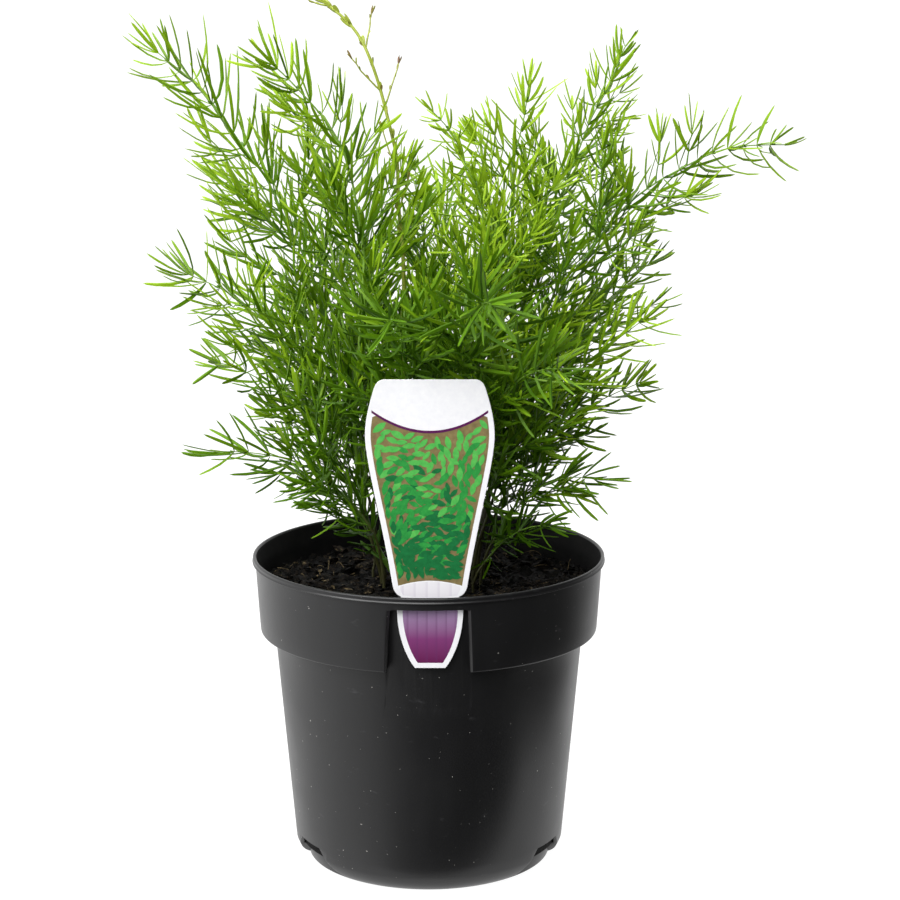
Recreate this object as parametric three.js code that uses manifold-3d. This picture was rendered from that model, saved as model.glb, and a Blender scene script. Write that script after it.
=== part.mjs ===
// Foxtail fern in a 140 mm nursery pot with its label. Millimetres, +Z up, front of the pot towards -Y.
// The origin is the centre of the pot's flat base.
import * as THREE from 'three';
import { mergeVertices } from 'three/addons/utils/BufferGeometryUtils.js';
import Module from 'manifold-3d';

const wasm = await Module();
wasm.setup();
const { Manifold, Mesh: SolidMesh } = wasm;

// ---------------------------------------------------------------- driving dimensions, mm and degrees
const GAP = 0.35;                   // clearance between pieces that touch
const SEED = 7;                     // of every random draw

const POT = {
  height: 127, sides: 40,
  wall: 1.6, floor: 3,
  cornerRadius: 6.8,                // rounded edge between base and wall
  bodyFoot: 55.2, bodyTop: 63.1,    // outer radius of the tapered body, at the corner and at the collar
  collarBottom: 96, collarTop: 118,
  collarFootRadius: 68.9, collarTopRadius: 70.3,
  bevel: 0.7,                       // of the collar's lower edge
  insideLean: 0.67,                 // share of the collar's lean that its inside has
  lip: [[70.7, 123.9], [71.9, 124.7], [71.7, 126.4], [71, 127]],  // rolled lip: radius and height
  lipRadius: 71.9,
  sillFoot: 46.2,                   // radius at which the floor starts to rise towards the notches' sills
};

// Drainage notches in the bottom corner. The azimuth is counted from +X.
const NOTCH = {
  azimuths: [29, 151, 209, 331],
  height: 11.8, halfFoot: 15, halfTop: 8,
  sill: 6.4, sillRadius: 49.8,      // the strip of base that stands inside each notch
  sillFace: [49.2, 51.3],           // radius of its outer face, at the foot and at the top
  shoulder: 1.4,                    // rise from the sill to the wall
};

// The slot in the collar that holds the label.
const SLOT = {
  halfWidth: 14.8, top: 121.8,      // the window in the collar, open below
  pocketTop: 120.5, cheek: 1.5,     // the pocket behind it, with a side wall at each end
  band: [80, 125],                  // heights between which the pocket's surfaces are turned
  front: [-80, -50],                // span of y that holds the front wall
};

const LABEL = {
  thickness: 0.6, front: 66.3,      // the card's face, in front of the pot's axis
  bottom: 97.8, height: 112.9,
  halfTip: 5.9, halfWidth: 24.5,
  aside: 1.1,                       // it stands this far right of the slot's middle
};

// Right half of the label's outline, from its tip upwards. Each row holds one curve's handles and its end,
// as half width and height above the tip: tongue, waist, foot, side, shoulder, top corner.
const LABEL_CURVES = [
  [[10.4, 6], [12.7, 15], [12.7, 23]],
  [[11.2, 26.5], [11.2, 27.6]],
  [[13.6, 28.6], [14, 31]],
  [[18.2, 58], [24, 79], [24.5, 90.5]],
  [[24.6, 97.5], [22.7, 104], [21.4, 108.2]],
  [[20.3, 112.9], [17, 112.9]],
];

const SOIL = {
  top: 113.5, relief: 1.7,
  crown: 1.2, crownSpread: 900,     // the mix is heaped up a little round the stems
  rings: 6, sectors: 26,
  pocketBack: 58.9,                 // its flat face behind the label's pocket, in front of the axis
};

const STEM = {
  buried: 105, peg: 118,            // foot and top of the upright start in the mix
  footRadius: 1.3, tipRadius: 1.0,
  sides: 4, step: 31,               // length of one straight piece of the curve
};

// The rule of growth. A node is a place on a stem where a side spray or a needle grows. Places are shares
// of the way along the stem.
const GROWTH = {
  nodeGap: 7, goldenAngle: 137.508,
  firstNode: 0.26, lastSpray: 0.7, lastNeedle: 0.96,
  sprayLength: 46, longestAt: 0.42, fullStem: 230,
  sprayAngle: 52, needleAngle: 50, lift: 0.2,
  stemNeedle: 18, sprayNeedle: 14.5, sprayTip: 10.15,
  twigAngle: 38, shootTip: 9,
};

// What the solids carry of it.
const SPRAY = { radii: [0.6, 1.15, 1.0], sides: 3, every: 2, turns: [0, 25, -25, 50, -50, 80, -80] };
const NEEDLE = {
  radius: 0.5, sides: 3,
  perSpray: 3, firstOnSpray: 0.3, lastOnSpray: 0.9,
  stemGap: 3.6,                     // between the needles of a stem's bare end
  faceTurn: 16,                     // how far a needle may stand off the middle of the face it grows from
  draws: 7,                         // random draws kept for each spray
  tipRoot: 0.97,                    // where the needle that ends a rod starts
};

// Distances that sprays and needles keep from what is round them.
const CLEAR = { overSoil: 5, insideRim: 6, outsideRim: 3, overRim: 2, label: 2.5, labelEdge: 2, samples: 6 };

// Each stem is one cubic curve: foot in the mix, two handles, tip.
const STEMS = {
  stem_upper_left: [[-14, 4], [-33, 4, 206], [-51, 24, 279], [-110, 35, 328]],
  stem_top_left: [[-13, -7], [-57, -11, 178], [11, -5, 273], [-62, -5, 325]],
  stem_top_right: [[11, 0], [25, 2, 196], [29, 3, 258], [40, 10, 316]],
  stem_tall_right: [[12, 7], [29, 11, 204], [49, 25, 269], [81, 40, 330]],
  stem_far_right: [[19, 0], [32, -4, 202], [63, 7, 295], [144, 15, 292]],
  stem_young_top: [[7, -5], [16, -16, 193], [41, -19, 266], [2, -25, 308]],
  stem_crown_top: [[0, 10], [-1, 13, 185], [2, 16, 230], [-6, 25, 281]],
  stem_mid_left: [[-18, -1], [-27, -2, 177], [-50, -3, 223], [-96, 0, 242]],
  stem_front_left_low: [[-19, -8], [-28, -16, 163], [-46, -25, 202], [-81, -34, 211]],
  stem_low_left: [[-18, -14], [-19, -18, 154], [-51, -32, 179], [-82, -38, 177]],
  stem_mid_right: [[18, 7], [25, 11, 174], [54, 22, 211], [91, 32, 242]],
  stem_front_right: [[18, -6], [24, -8, 167], [50, -19, 204], [85, -24, 227]],
  stem_side_right: [[23, 4], [24, 0, 156], [53, 8, 186], [86, 6, 196]],
  stem_low_right: [[21, -12], [24, -15, 142], [44, -25, 168], [66, -27, 164]],
  sprig_right: [[18, -17], [25, -20, 133], [33, -32, 148], [48, -36, 146]],
  sprig_left: [[-23, 6], [-17, 4, 135], [-40, 13, 152], [-54, 14, 150]],
  stem_front_centre: [[5, -18], [5, -21, 174], [11, -46, 245], [24, -95, 243]],
  stem_front_far_right: [[12, -17], [16, -19, 163], [27, -47, 217], [49, -80, 217]],
  stem_front_left: [[-4, -17], [-7, -23, 170], [-7, -40, 237], [-14, -86, 236]],
  stem_back_left: [[-8, 13], [-13, 25, 181], [-26, 41, 250], [-46, 90, 276]],
  stem_back_centre: [[1, 17], [2, 26, 180], [4, 55, 250], [6, 108, 266]],
  stem_back_right: [[10, 13], [17, 24, 179], [32, 45, 256], [60, 92, 276]],
  stem_back_low_right: [[16, 16], [27, 28, 164], [50, 47, 206], [80, 78, 216]],
  stem_back_low_left: [[-15, 15], [-26, 25, 166], [-46, 46, 204], [-74, 78, 218]],
  stem_back_low: [[6, 22], [6, 29, 151], [11, 66, 177], [14, 100, 182]],
};

// The young shoot has no needles yet, only side twigs: share of the way along it, length, azimuth.
const SHOOT = [[-5, 1], [-20, 1, 195], [10, -8, 330], [-49, 10, 353]];
const TWIGS = [
  [0.95, 8, 45], [0.86, 12, 225], [0.79, 14, 45],
  [0.765, 15, 225], [0.66, 17, 315], [0.6, 12, 135],
];
const TWIG_TURNS = [0, 90, -90];

// ---------------------------------------------------------------- materials
const material = (color, roughness) => new THREE.MeshStandardMaterial({ color, roughness, metalness: 0 });
const POT_PLASTIC = material(0x2c2c2d, 0.45);
const POTTING_MIX = material(0x2b1f16, 0.95);
const LABEL_PLASTIC = material(0xe6e5e8, 0.35);
const LEAF_GREEN = material(0x5f9a24, 0.55);
const SHOOT_GREEN = material(0xa6b83c, 0.55);

// ---------------------------------------------------------------- solids
const UP = new THREE.Vector3(0, 0, 1);
const radians = THREE.MathUtils.degToRad;
const vector = (point) => new THREE.Vector3(...point);

/** A repeatable random share from 0 to 1 for a whole number. */
const random = (n) => {
  const wave = Math.sin((n + SEED) * 12.9898) * 43758.5453;
  return wave - Math.floor(wave);
};

/** A closed three.js geometry as a solid that can be joined and cut. */
function solid(geometry) {
  const bare = new THREE.BufferGeometry();
  bare.setAttribute('position', geometry.getAttribute('position'));
  bare.setIndex(geometry.getIndex());
  const merged = mergeVertices(bare, 1e-4);
  const faces = [];
  const index = merged.getIndex().array;
  for (let i = 0; i < index.length; i += 3) {
    const [a, b, c] = index.slice(i, i + 3);
    if (a !== b && b !== c && c !== a) faces.push(a, b, c);
  }
  return new Manifold(new SolidMesh({
    numProp: 3,
    vertProperties: new Float32Array(merged.getAttribute('position').array),
    triVerts: new Uint32Array(faces),
  }));
}

/** The named mesh of a solid. Any scrap that cutting leaves beside the main body is dropped. */
function piece(name, shape, finish) {
  const bodies = shape.decompose().sort((a, b) => b.volume() - a.volume());
  const { vertProperties, triVerts } = bodies[0].getMesh();
  const geometry = new THREE.BufferGeometry();
  geometry.setAttribute('position', new THREE.BufferAttribute(new Float32Array(vertProperties), 3));
  geometry.setIndex(new THREE.BufferAttribute(new Uint32Array(triVerts), 1));
  const mesh = new THREE.Mesh(geometry, finish);
  mesh.name = name;
  return mesh;
}

/** A solid of revolution about Z from [radius, height] points that start and end on the axis. */
function turned(profile, sides) {
  const points = profile.map(([radius, height]) => new THREE.Vector2(radius, height));
  return solid(new THREE.LatheGeometry(points, sides).rotateX(Math.PI / 2));
}

/** A box from its lowest and highest corners. */
function block(low, high) {
  const size = vector(high).sub(vector(low));
  const centre = vector(high).add(vector(low)).multiplyScalar(0.5);
  return solid(new THREE.BoxGeometry(size.x, size.y, size.z).translate(centre.x, centre.y, centre.z));
}

// ---------------------------------------------------------------- pot
const bodySlope = (POT.bodyTop - POT.bodyFoot) / (POT.collarBottom - POT.cornerRadius);
const bodyRadius = (z) => POT.bodyFoot + bodySlope * (z - POT.cornerRadius);
const collarLean = (POT.collarTopRadius - POT.collarFootRadius) / (POT.collarTop - POT.collarBottom);
const collarInside = (z) => (
  POT.collarFootRadius - POT.wall + collarLean * POT.insideLean * (z - POT.collarBottom)
);
const sillTop = NOTCH.sill + NOTCH.shoulder;

/** The rounded bottom edge, from the flat base up to the wall. */
function cornerPoints(steps) {
  const centre = [POT.bodyFoot - POT.cornerRadius, POT.cornerRadius];
  return Array.from({ length: steps + 1 }, (_, i) => {
    const angle = (i / steps) * Math.PI / 2;
    return [
      centre[0] + POT.cornerRadius * Math.sin(angle),
      centre[1] - POT.cornerRadius * Math.cos(angle),
    ];
  });
}

function makeShell() {
  const ledge = POT.collarBottom + POT.wall;
  return turned([
    [0, 0],
    ...cornerPoints(3),
    [POT.bodyTop, POT.collarBottom],
    [POT.collarFootRadius - POT.bevel, POT.collarBottom],
    [POT.collarFootRadius, POT.collarBottom + POT.bevel],
    [POT.collarTopRadius, POT.collarTop],
    ...POT.lip,
    [collarInside(POT.height), POT.height],
    [collarInside(ledge), ledge],
    [bodyRadius(ledge) - POT.wall, ledge],
    [bodyRadius(sillTop) - POT.wall, sillTop],
    [NOTCH.sillRadius, NOTCH.sill],
    [POT.sillFoot, POT.floor],
    [0, POT.floor],
  ], POT.sides);
}

/** A solid cone of the slot's band, from its radius as a function of height. */
function bandCore(radiusAt) {
  const [low, high] = SLOT.band;
  return turned([[0, low], [radiusAt(low), low], [radiusAt(high), high], [0, high]], POT.sides);
}

/** The window that the slot cuts out of the collar. */
function makeWindow() {
  const [far, near] = SLOT.front;
  const opening = block([-SLOT.halfWidth, far, SLOT.band[0]], [SLOT.halfWidth, near, SLOT.top]);
  return opening.subtract(bandCore(bodyRadius));
}

/** The pocket behind the window: the body's wall carried up, closed by a cheek at each end. */
function makePocket() {
  const [far, near] = SLOT.front;
  const reach = SLOT.halfWidth + SLOT.cheek;
  const room = block([-reach, far, POT.collarBottom], [reach, near, SLOT.pocketTop]);
  const insideCollar = bandCore((z) => (
    POT.collarFootRadius - POT.wall / 2 + collarLean * (z - POT.collarBottom)
  ));
  return room.intersect(insideCollar).subtract(bandCore((z) => bodyRadius(z) - POT.wall));
}

/** The cutters of the drainage notches. Each leaves the low sill of the base standing. */
function makeNotches() {
  const [foot, top] = NOTCH.sillFace;
  const below = -1;
  const base = turned([[0, below], [foot, below], [top, NOTCH.sill], [0, NOTCH.sill]], POT.sides);
  const outline = new THREE.Shape([
    new THREE.Vector2(-NOTCH.halfFoot, below), new THREE.Vector2(NOTCH.halfFoot, below),
    new THREE.Vector2(NOTCH.halfTop, NOTCH.height), new THREE.Vector2(-NOTCH.halfTop, NOTCH.height),
  ]);
  const inner = POT.sillFoot - NOTCH.height;
  return NOTCH.azimuths.map((azimuth) => {
    const cutter = new THREE.ExtrudeGeometry(outline, { depth: POT.bodyFoot, bevelEnabled: false });
    return solid(cutter.rotateX(Math.PI / 2).translate(0, -inner, 0).rotateZ(radians(azimuth + 90)))
      .subtract(base);
  });
}

function makePot() {
  const window = makeWindow();
  const shell = Manifold.difference([makeShell(), window, ...makeNotches()]);
  return shell.add(makePocket().subtract(window));
}

// ---------------------------------------------------------------- label
function labelOutline() {
  const shape = new THREE.Shape();
  const at = ([half, rise]) => [half, LABEL.bottom + rise];
  shape.moveTo(...at([LABEL.halfTip, 0]));
  LABEL_CURVES.forEach((curve) => {
    const points = curve.flatMap(at);
    if (curve.length === 3) shape.bezierCurveTo(...points);
    else shape.quadraticCurveTo(...points);
  });
  const right = shape.getPoints(4);
  const left = right.map((point) => new THREE.Vector2(-point.x, point.y)).reverse();
  return new THREE.Shape([...right, ...left]);
}

function makeLabel() {
  const card = new THREE.ExtrudeGeometry(labelOutline(), { depth: LABEL.thickness, bevelEnabled: false });
  return solid(card.rotateX(Math.PI / 2).translate(LABEL.aside, LABEL.thickness - LABEL.front, 0));
}

// ---------------------------------------------------------------- soil
/** Height of the mix at a place: low mounds and coarse chips, heaped up round the stems. */
function soilHeight(x, y) {
  const mounds = Math.sin(x * 0.11 + 1.3) * Math.cos(y * 0.09 - 0.4);
  const chips = Math.sin(x * 0.47 + y * 0.21) * Math.sin(y * 0.53 - x * 0.17 + 2);
  const heap = Math.exp(-(x * x + y * y) / SOIL.crownSpread);
  return SOIL.top + SOIL.relief * (mounds + chips) / 2 + SOIL.crown * heap;
}

/** The mix before its holes are cut: it fills the pot, a gap short of the wall. */
function makeBed() {
  const ledge = POT.collarBottom + POT.wall + GAP;
  const inset = POT.wall + GAP;
  const rim = collarInside(SOIL.top) - GAP;
  const surface = Array.from({ length: SOIL.rings }, (_, i) => [rim * (1 - i / SOIL.rings), SOIL.top]);
  const profile = [
    [0, POT.floor + GAP],
    [POT.sillFoot - GAP, POT.floor + GAP],
    [NOTCH.sillRadius - GAP, NOTCH.sill + GAP],
    [bodyRadius(sillTop) - inset, sillTop + GAP],
    [bodyRadius(ledge) - inset, ledge],
    [collarInside(ledge) - GAP, ledge],
    ...surface,
    [0, SOIL.top],
  ].map(([radius, height]) => new THREE.Vector2(radius, height));
  const geometry = new THREE.LatheGeometry(profile, SOIL.sectors).rotateX(Math.PI / 2);
  const position = geometry.getAttribute('position');
  for (let i = 0; i < position.count; i += 1) {
    if (position.getZ(i) > SOIL.top - 0.01) {
      position.setZ(i, soilHeight(position.getX(i), position.getY(i)));
    }
  }
  return solid(geometry);
}

/** The bed with a plain hole for each stem and the space that the label's pocket takes. */
function makeSoil(feet) {
  const reach = SLOT.halfWidth + SLOT.cheek + GAP;
  const pocket = block(
    [-reach, SLOT.front[0], POT.collarBottom],
    [reach, -SOIL.pocketBack, SLOT.band[1]],
  );
  const holeRadius = (STEM.footRadius + GAP) / Math.cos(Math.PI / 6);
  const depth = STEM.peg - STEM.buried;
  const holes = feet.map(([x, y]) => solid(
    new THREE.CylinderGeometry(holeRadius, holeRadius, depth, 6).rotateX(Math.PI / 2)
      .translate(x, y, STEM.buried - GAP + depth / 2),
  ));
  return Manifold.difference([makeBed(), pocket, ...holes]);
}

// ---------------------------------------------------------------- growth
/** A level direction across a route, which keeps the rings of a rod from twisting along it. */
function acrossOf(points) {
  const span = points[points.length - 1].clone().sub(points[0]).setZ(0);
  return span.length() > 1 ? new THREE.Vector3(-span.y, span.x, 0).normalize() : new THREE.Vector3(1, 0, 0);
}

/** The direction straight out of an axis at an azimuth, counted round it from the level direction. */
function outward(axis, across, azimuth) {
  const side = across.clone().addScaledVector(axis, -across.dot(axis)).normalize();
  const other = new THREE.Vector3().crossVectors(side, axis);
  const angle = radians(azimuth);
  return side.multiplyScalar(Math.sin(angle)).addScaledVector(other, Math.cos(angle));
}

/** The direction that leaves an axis at an angle, at an azimuth round it. */
function leaning(axis, across, angle, azimuth) {
  return axis.clone().multiplyScalar(Math.cos(radians(angle)))
    .addScaledVector(outward(axis, across, azimuth), Math.sin(radians(angle)));
}

/** A tapered rod along points: a cylinder whose rings are moved onto the route. */
function rod(points, radii, sides) {
  const last = points.length - 1;
  const geometry = new THREE.CylinderGeometry(1, 1, 1, sides, last);
  const position = geometry.getAttribute('position');
  const across = acrossOf(points);
  for (let i = 0; i < position.count; i += 1) {
    const ring = Math.round((0.5 + position.getY(i)) * last);
    const along = points[Math.min(ring + 1, last)].clone().sub(points[Math.max(ring - 1, 0)]).normalize();
    const azimuth = THREE.MathUtils.radToDeg(Math.atan2(position.getX(i), position.getZ(i)));
    const reach = radii[ring] * Math.hypot(position.getX(i), position.getZ(i));
    const moved = points[ring].clone().addScaledVector(outward(along, across, azimuth), reach);
    position.setXYZ(i, moved.x, moved.y, moved.z);
  }
  return solid(geometry);
}

/** The place and the heading at a share of the way along a route of straight pieces. */
function onRoute(points, share) {
  const lengths = points.slice(1).map((point, i) => point.distanceTo(points[i]));
  let left = share * lengths.reduce((sum, length) => sum + length, 0);
  let i = 0;
  while (i < lengths.length - 1 && left > lengths[i]) {
    left -= lengths[i];
    i += 1;
  }
  const axis = points[i + 1].clone().sub(points[i]).normalize();
  return { root: points[i].clone().addScaledVector(axis, left), axis };
}

/** The azimuth of a flat face of a rod: needles grow from the faces in turn, with a small random turn. */
function faceAzimuth(n, sides) {
  const face = sides === STEM.sides ? n * 3 : n;
  return (360 / sides) * (face + 0.5) + (random(n) - 0.5) * NEEDLE.faceTurn;
}

/** A needle: a slim pointed three-sided blade that starts inside the core it grows from. */
function needleSolid({ start, end }) {
  const along = end.clone().sub(start);
  const turn = new THREE.Quaternion().setFromUnitVectors(
    new THREE.Vector3(0, 1, 0),
    along.clone().normalize(),
  );
  const middle = start.clone().addScaledVector(along, 0.5);
  return solid(new THREE.ConeGeometry(NEEDLE.radius, along.length(), NEEDLE.sides)
    .applyQuaternion(turn).translate(middle.x, middle.y, middle.z));
}

/** Shortest distance between two straight pieces. */
function distance(a, b) {
  const u = a.end.clone().sub(a.start);
  const v = b.end.clone().sub(b.start);
  const w = a.start.clone().sub(b.start);
  const [uu, uv, vv, uw, vw] = [u.dot(u), u.dot(v), v.dot(v), u.dot(w), v.dot(w)];
  const clamp = (value) => Math.min(Math.max(value, 0), 1);
  const skew = uu * vv - uv * uv;
  let s = skew > 1e-9 ? clamp((uv * vw - vv * uw) / skew) : 0;
  const t = clamp((uv * s + vw) / vv);
  s = clamp((uv * t - uw) / uu);
  return w.addScaledVector(u, s).addScaledVector(v, -t).length();
}

const grown = [];                   // every straight piece that stands already, with its radius and its node

/** Whether a piece keeps clear of the other nodes, the label, the soil and the pot's rim. */
function isClear(bar, node) {
  const labelTop = LABEL.bottom + LABEL.height;
  for (let i = 0; i <= CLEAR.samples; i += 1) {
    const p = bar.start.clone().lerp(bar.end, i / CLEAR.samples);
    const radius = Math.hypot(p.x, p.y);
    const overWall = radius > POT.collarTopRadius - CLEAR.insideRim
      && radius < POT.lipRadius + CLEAR.outsideRim;
    const nearCard = Math.abs(p.y + LABEL.front) < CLEAR.label
      && Math.abs(p.x - LABEL.aside) < LABEL.halfWidth + CLEAR.labelEdge;
    if (p.z < SOIL.top + CLEAR.overSoil) return false;
    if (overWall && p.z < POT.height + CLEAR.overRim) return false;
    if (nearCard && p.z < labelTop + CLEAR.labelEdge) return false;
  }
  return grown.every((other) => other.node === node || distance(bar, other) > bar.radius + other.radius + GAP);
}

/** Turns a piece about its parent until it is clear, or gives it up. */
function place(make, node, azimuth, turns) {
  for (const turn of turns) {
    const placed = make(azimuth + turn);
    if (placed.every((bar) => isClear(bar, node))) {
      placed.forEach((bar) => grown.push({ ...bar, node }));
      return placed;
    }
  }
  return null;
}

/** The straight pieces of a route. */
function bars(points, radius) {
  return points.slice(1).map((end, i) => ({ start: points[i], end, radius }));
}

/** A stem: a short upright foot in the mix, then its curve. */
function growStem(name, [foot, rise, arch, tip]) {
  const start = new THREE.Vector3(foot[0], foot[1], STEM.peg);
  const curve = new THREE.CubicBezierCurve3(start, vector(rise), vector(arch), vector(tip));
  const length = curve.getLength();
  const green = curve.getPoints(Math.max(4, Math.round(length / STEM.step)));
  const points = [new THREE.Vector3(foot[0], foot[1], STEM.buried), ...green];
  const last = points.length - 1;
  const radii = points.map((_, i) => THREE.MathUtils.lerp(STEM.footRadius, STEM.tipRadius, i / last));
  bars(points, STEM.footRadius).forEach((bar) => grown.push({ ...bar, node: name }));
  return { name, length, points, green, parts: [rod(points, radii, STEM.sides)], sprays: [] };
}

/** Length of the side spray at a place along its stem: longest low down, shorter towards the tip. */
function sprayLength(t, stemLength) {
  const fall = Math.cos((Math.PI / 2) * (t - GROWTH.longestAt) / GROWTH.longestAt);
  return GROWTH.sprayLength * fall * Math.sqrt(Math.min(stemLength / GROWTH.fullStem, 1));
}

/** A side spray's core bends up towards the light as it grows out. */
function sprayPoints(root, axis, across, length, azimuth) {
  const way = leaning(axis, across, GROWTH.sprayAngle, azimuth);
  return [0, 0.5, 1].map((s) => root.clone()
    .addScaledVector(way, length * s)
    .addScaledVector(UP, GROWTH.lift * length * s * s));
}

function growSprays(frond) {
  const across = acrossOf(frond.points);
  const gap = GROWTH.nodeGap / frond.length;
  for (let n = 0; GROWTH.firstNode + n * gap < GROWTH.lastSpray; n += SPRAY.every) {
    const t = GROWTH.firstNode + n * gap;
    const { root, axis } = onRoute(frond.green, t);
    const placed = place((azimuth) => {
      const points = sprayPoints(root, axis, across, sprayLength(t, frond.length), azimuth);
      return bars(points, SPRAY.radii[1]);
    }, frond.name, n * GROWTH.goldenAngle, SPRAY.turns);
    if (placed) {
      const points = [root, ...placed.map((bar) => bar.end)];
      frond.parts.push(rod(points, SPRAY.radii, SPRAY.sides));
      frond.sprays.push(points);
    }
  }
}

/** Grows one needle on a rod of a number of sides, at a share of the way along it. */
function growNeedle(frond, points, sides, share, length, n) {
  const { root, axis } = onRoute(points, share);
  const across = acrossOf(points);
  const face = 360 / sides;
  const placed = place((azimuth) => {
    const way = leaning(axis, across, GROWTH.needleAngle, azimuth).addScaledVector(UP, GROWTH.lift);
    return bars([root, root.clone().addScaledVector(way.normalize(), length)], NEEDLE.radius);
  }, frond.name, faceAzimuth(n, sides), [0, face, -face]);
  if (placed) frond.parts.push(needleSolid(placed[0]));
}

/** The needle that ends a rod, in line with it. */
function growTip(frond, points, length) {
  const { root, axis } = onRoute(points, NEEDLE.tipRoot);
  const bar = { start: root, end: root.clone().addScaledVector(axis, length), radius: NEEDLE.radius };
  if (!isClear(bar, frond.name)) return;
  grown.push({ ...bar, node: frond.name });
  frond.parts.push(needleSolid(bar));
}

function growNeedles(frond) {
  frond.sprays.forEach((points, spray) => {
    for (let i = 0; i < NEEDLE.perSpray; i += 1) {
      const share = THREE.MathUtils.lerp(NEEDLE.firstOnSpray, NEEDLE.lastOnSpray, i / (NEEDLE.perSpray - 1));
      growNeedle(frond, points, SPRAY.sides, share, GROWTH.sprayNeedle, spray * NEEDLE.draws + i);
    }
    growTip(frond, points, GROWTH.sprayTip);
  });
  const gap = NEEDLE.stemGap / frond.length;
  for (let n = 0; GROWTH.lastSpray + n * gap < GROWTH.lastNeedle; n += 1) {
    growNeedle(frond, frond.green, STEM.sides, GROWTH.lastSpray + n * gap, GROWTH.stemNeedle, n);
  }
  growTip(frond, frond.green, GROWTH.sprayNeedle);
}

function growTwigs(frond) {
  const across = acrossOf(frond.green);
  TWIGS.forEach(([share, length, turn]) => {
    const { root, axis } = onRoute(frond.green, share);
    const placed = place((azimuth) => {
      const way = leaning(axis, across, GROWTH.twigAngle, azimuth);
      return bars([root, root.clone().addScaledVector(way, length)], NEEDLE.radius);
    }, frond.name, turn, TWIG_TURNS);
    if (placed) frond.parts.push(needleSolid(placed[0]));
  });
  growTip(frond, frond.green, GROWTH.shootTip);
}

// ---------------------------------------------------------------- assembly
const plant = new THREE.Group();
const feet = [...Object.values(STEMS), SHOOT].map(([foot]) => foot);

plant.add(piece('pot', makePot(), POT_PLASTIC));
plant.add(piece('soil', makeSoil(feet), POTTING_MIX));
plant.add(piece('label', makeLabel(), LABEL_PLASTIC));

const shoot = growStem('new_shoot', SHOOT);
const fronds = Object.entries(STEMS).map(([name, curve]) => growStem(name, curve));
fronds.forEach(growSprays);
fronds.forEach(growNeedles);
growTwigs(shoot);

plant.add(piece(shoot.name, Manifold.union(shoot.parts), SHOOT_GREEN));
fronds.forEach(({ name, parts }) => plant.add(piece(name, Manifold.union(parts), LEAF_GREEN)));

export default plant;
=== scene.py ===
import math
from functools import partial
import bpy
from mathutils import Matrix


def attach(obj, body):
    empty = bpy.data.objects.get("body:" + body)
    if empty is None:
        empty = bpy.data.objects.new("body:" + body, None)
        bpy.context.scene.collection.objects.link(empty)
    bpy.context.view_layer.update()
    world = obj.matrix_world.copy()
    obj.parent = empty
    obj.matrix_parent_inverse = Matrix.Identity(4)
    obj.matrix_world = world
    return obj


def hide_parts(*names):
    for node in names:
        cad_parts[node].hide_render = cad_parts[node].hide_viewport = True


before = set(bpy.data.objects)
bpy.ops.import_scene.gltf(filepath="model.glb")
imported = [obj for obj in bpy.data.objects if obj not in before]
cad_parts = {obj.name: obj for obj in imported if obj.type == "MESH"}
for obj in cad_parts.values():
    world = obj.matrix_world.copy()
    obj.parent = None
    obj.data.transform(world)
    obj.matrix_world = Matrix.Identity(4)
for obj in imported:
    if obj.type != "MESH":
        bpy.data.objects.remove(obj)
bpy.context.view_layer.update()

from types import SimpleNamespace as Sizes

import bmesh
import bpy
import numpy as np
from mathutils import Matrix, Vector

# Foxtail fern in its nursery pot, with a plant label. Sizes are in millimetres and are turned to metres
# where a mesh is made. The front of the pot is towards -Y.
MM = 0.001
UP = np.array([0.0, 0.0, 1.0])
AROUND = 6.28  # about a full turn, for random ways

# ---------------------------------------------------------------- sizes
# These are the sizes of the solid parts, but for the foot of the pot: its corner is rounder here, and the
# notches are wider at the foot and leave a lower strip of the base. Profile points are radius and height.
# step: a small one between faces that would lie in one plane. seam: faces below it are part of the inside.
# softened: the bevel on every edge.
POT = Sizes(
    height=127, wall=1.6, floor=3, corner=6.8, body_foot=55.2, body_top=63.1, sill_foot=46.2,
    collar_bottom=96, collar_top=118, collar_foot_radius=68.9, collar_top_radius=70.3, inside_lean=0.67,
    base_ring=30, corner_pull=(53.2, 1.9), corner_top=7.6, body_straight=12, step=0.35, collar_edge=0.8,
    seam=126.35, softened=0.35,
)
LIP_OUTSIDE = (
    (70.65, 123.9), (70.72, 124.4), (71.5, 124.45), (71.85, 124.6), (71.93, 124.85), (71.6, 125.3),
    (71.62, 125.8))
LIP_BEAD = Sizes(centre=(71.02, 126.3), radius=0.7)
LIP_INSIDE = ((70.25, 126.3), (70.05, 125.5), (69.75, 124.2), (69.35, 122.6), (68.8, 120.8))
# The edges of the ledge inside the collar, with their corners taken off: how far out and up.
LEDGE_OUTER = ((0.1, 0.6), (-0.5, 0))
LEDGE_INNER = ((0.6, 0), (0, -0.7))
WELD = 0.002  # points closer than this are joined after cutting
NOTCH = Sizes(
    azimuths=(29, 151, 209, 331), height=11.8, half_foot=18.5, half_top=8,
    sill=5.8, sill_radius=49.4, sill_face=(49.6, 51), shoulder=1.4,
)
# left and right: where the sides of the slot are at its top and its foot. wedge: its rounded heights.
SLOT = Sizes(
    half=15.3, left=(-14.4, -16.6), right=(15.6, 17.1), rounding=1.3, top=121.8, pocket_top=120.5, cheek=1.9,
    band=(80, 125), front=(-80, -50), head_edge=0.8, wedge=(94.5, 121.4),
)
LABEL = Sizes(
    thickness=0.6, front=66.3, bottom=97.8, half_tip=5.9, half=24.5, aside=1.1, border=2.1, edge=0.12,
    field=(133, 198), field_side=(128.6, 199), tongue_top=124.2, film_apart=0.03,
)
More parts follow.
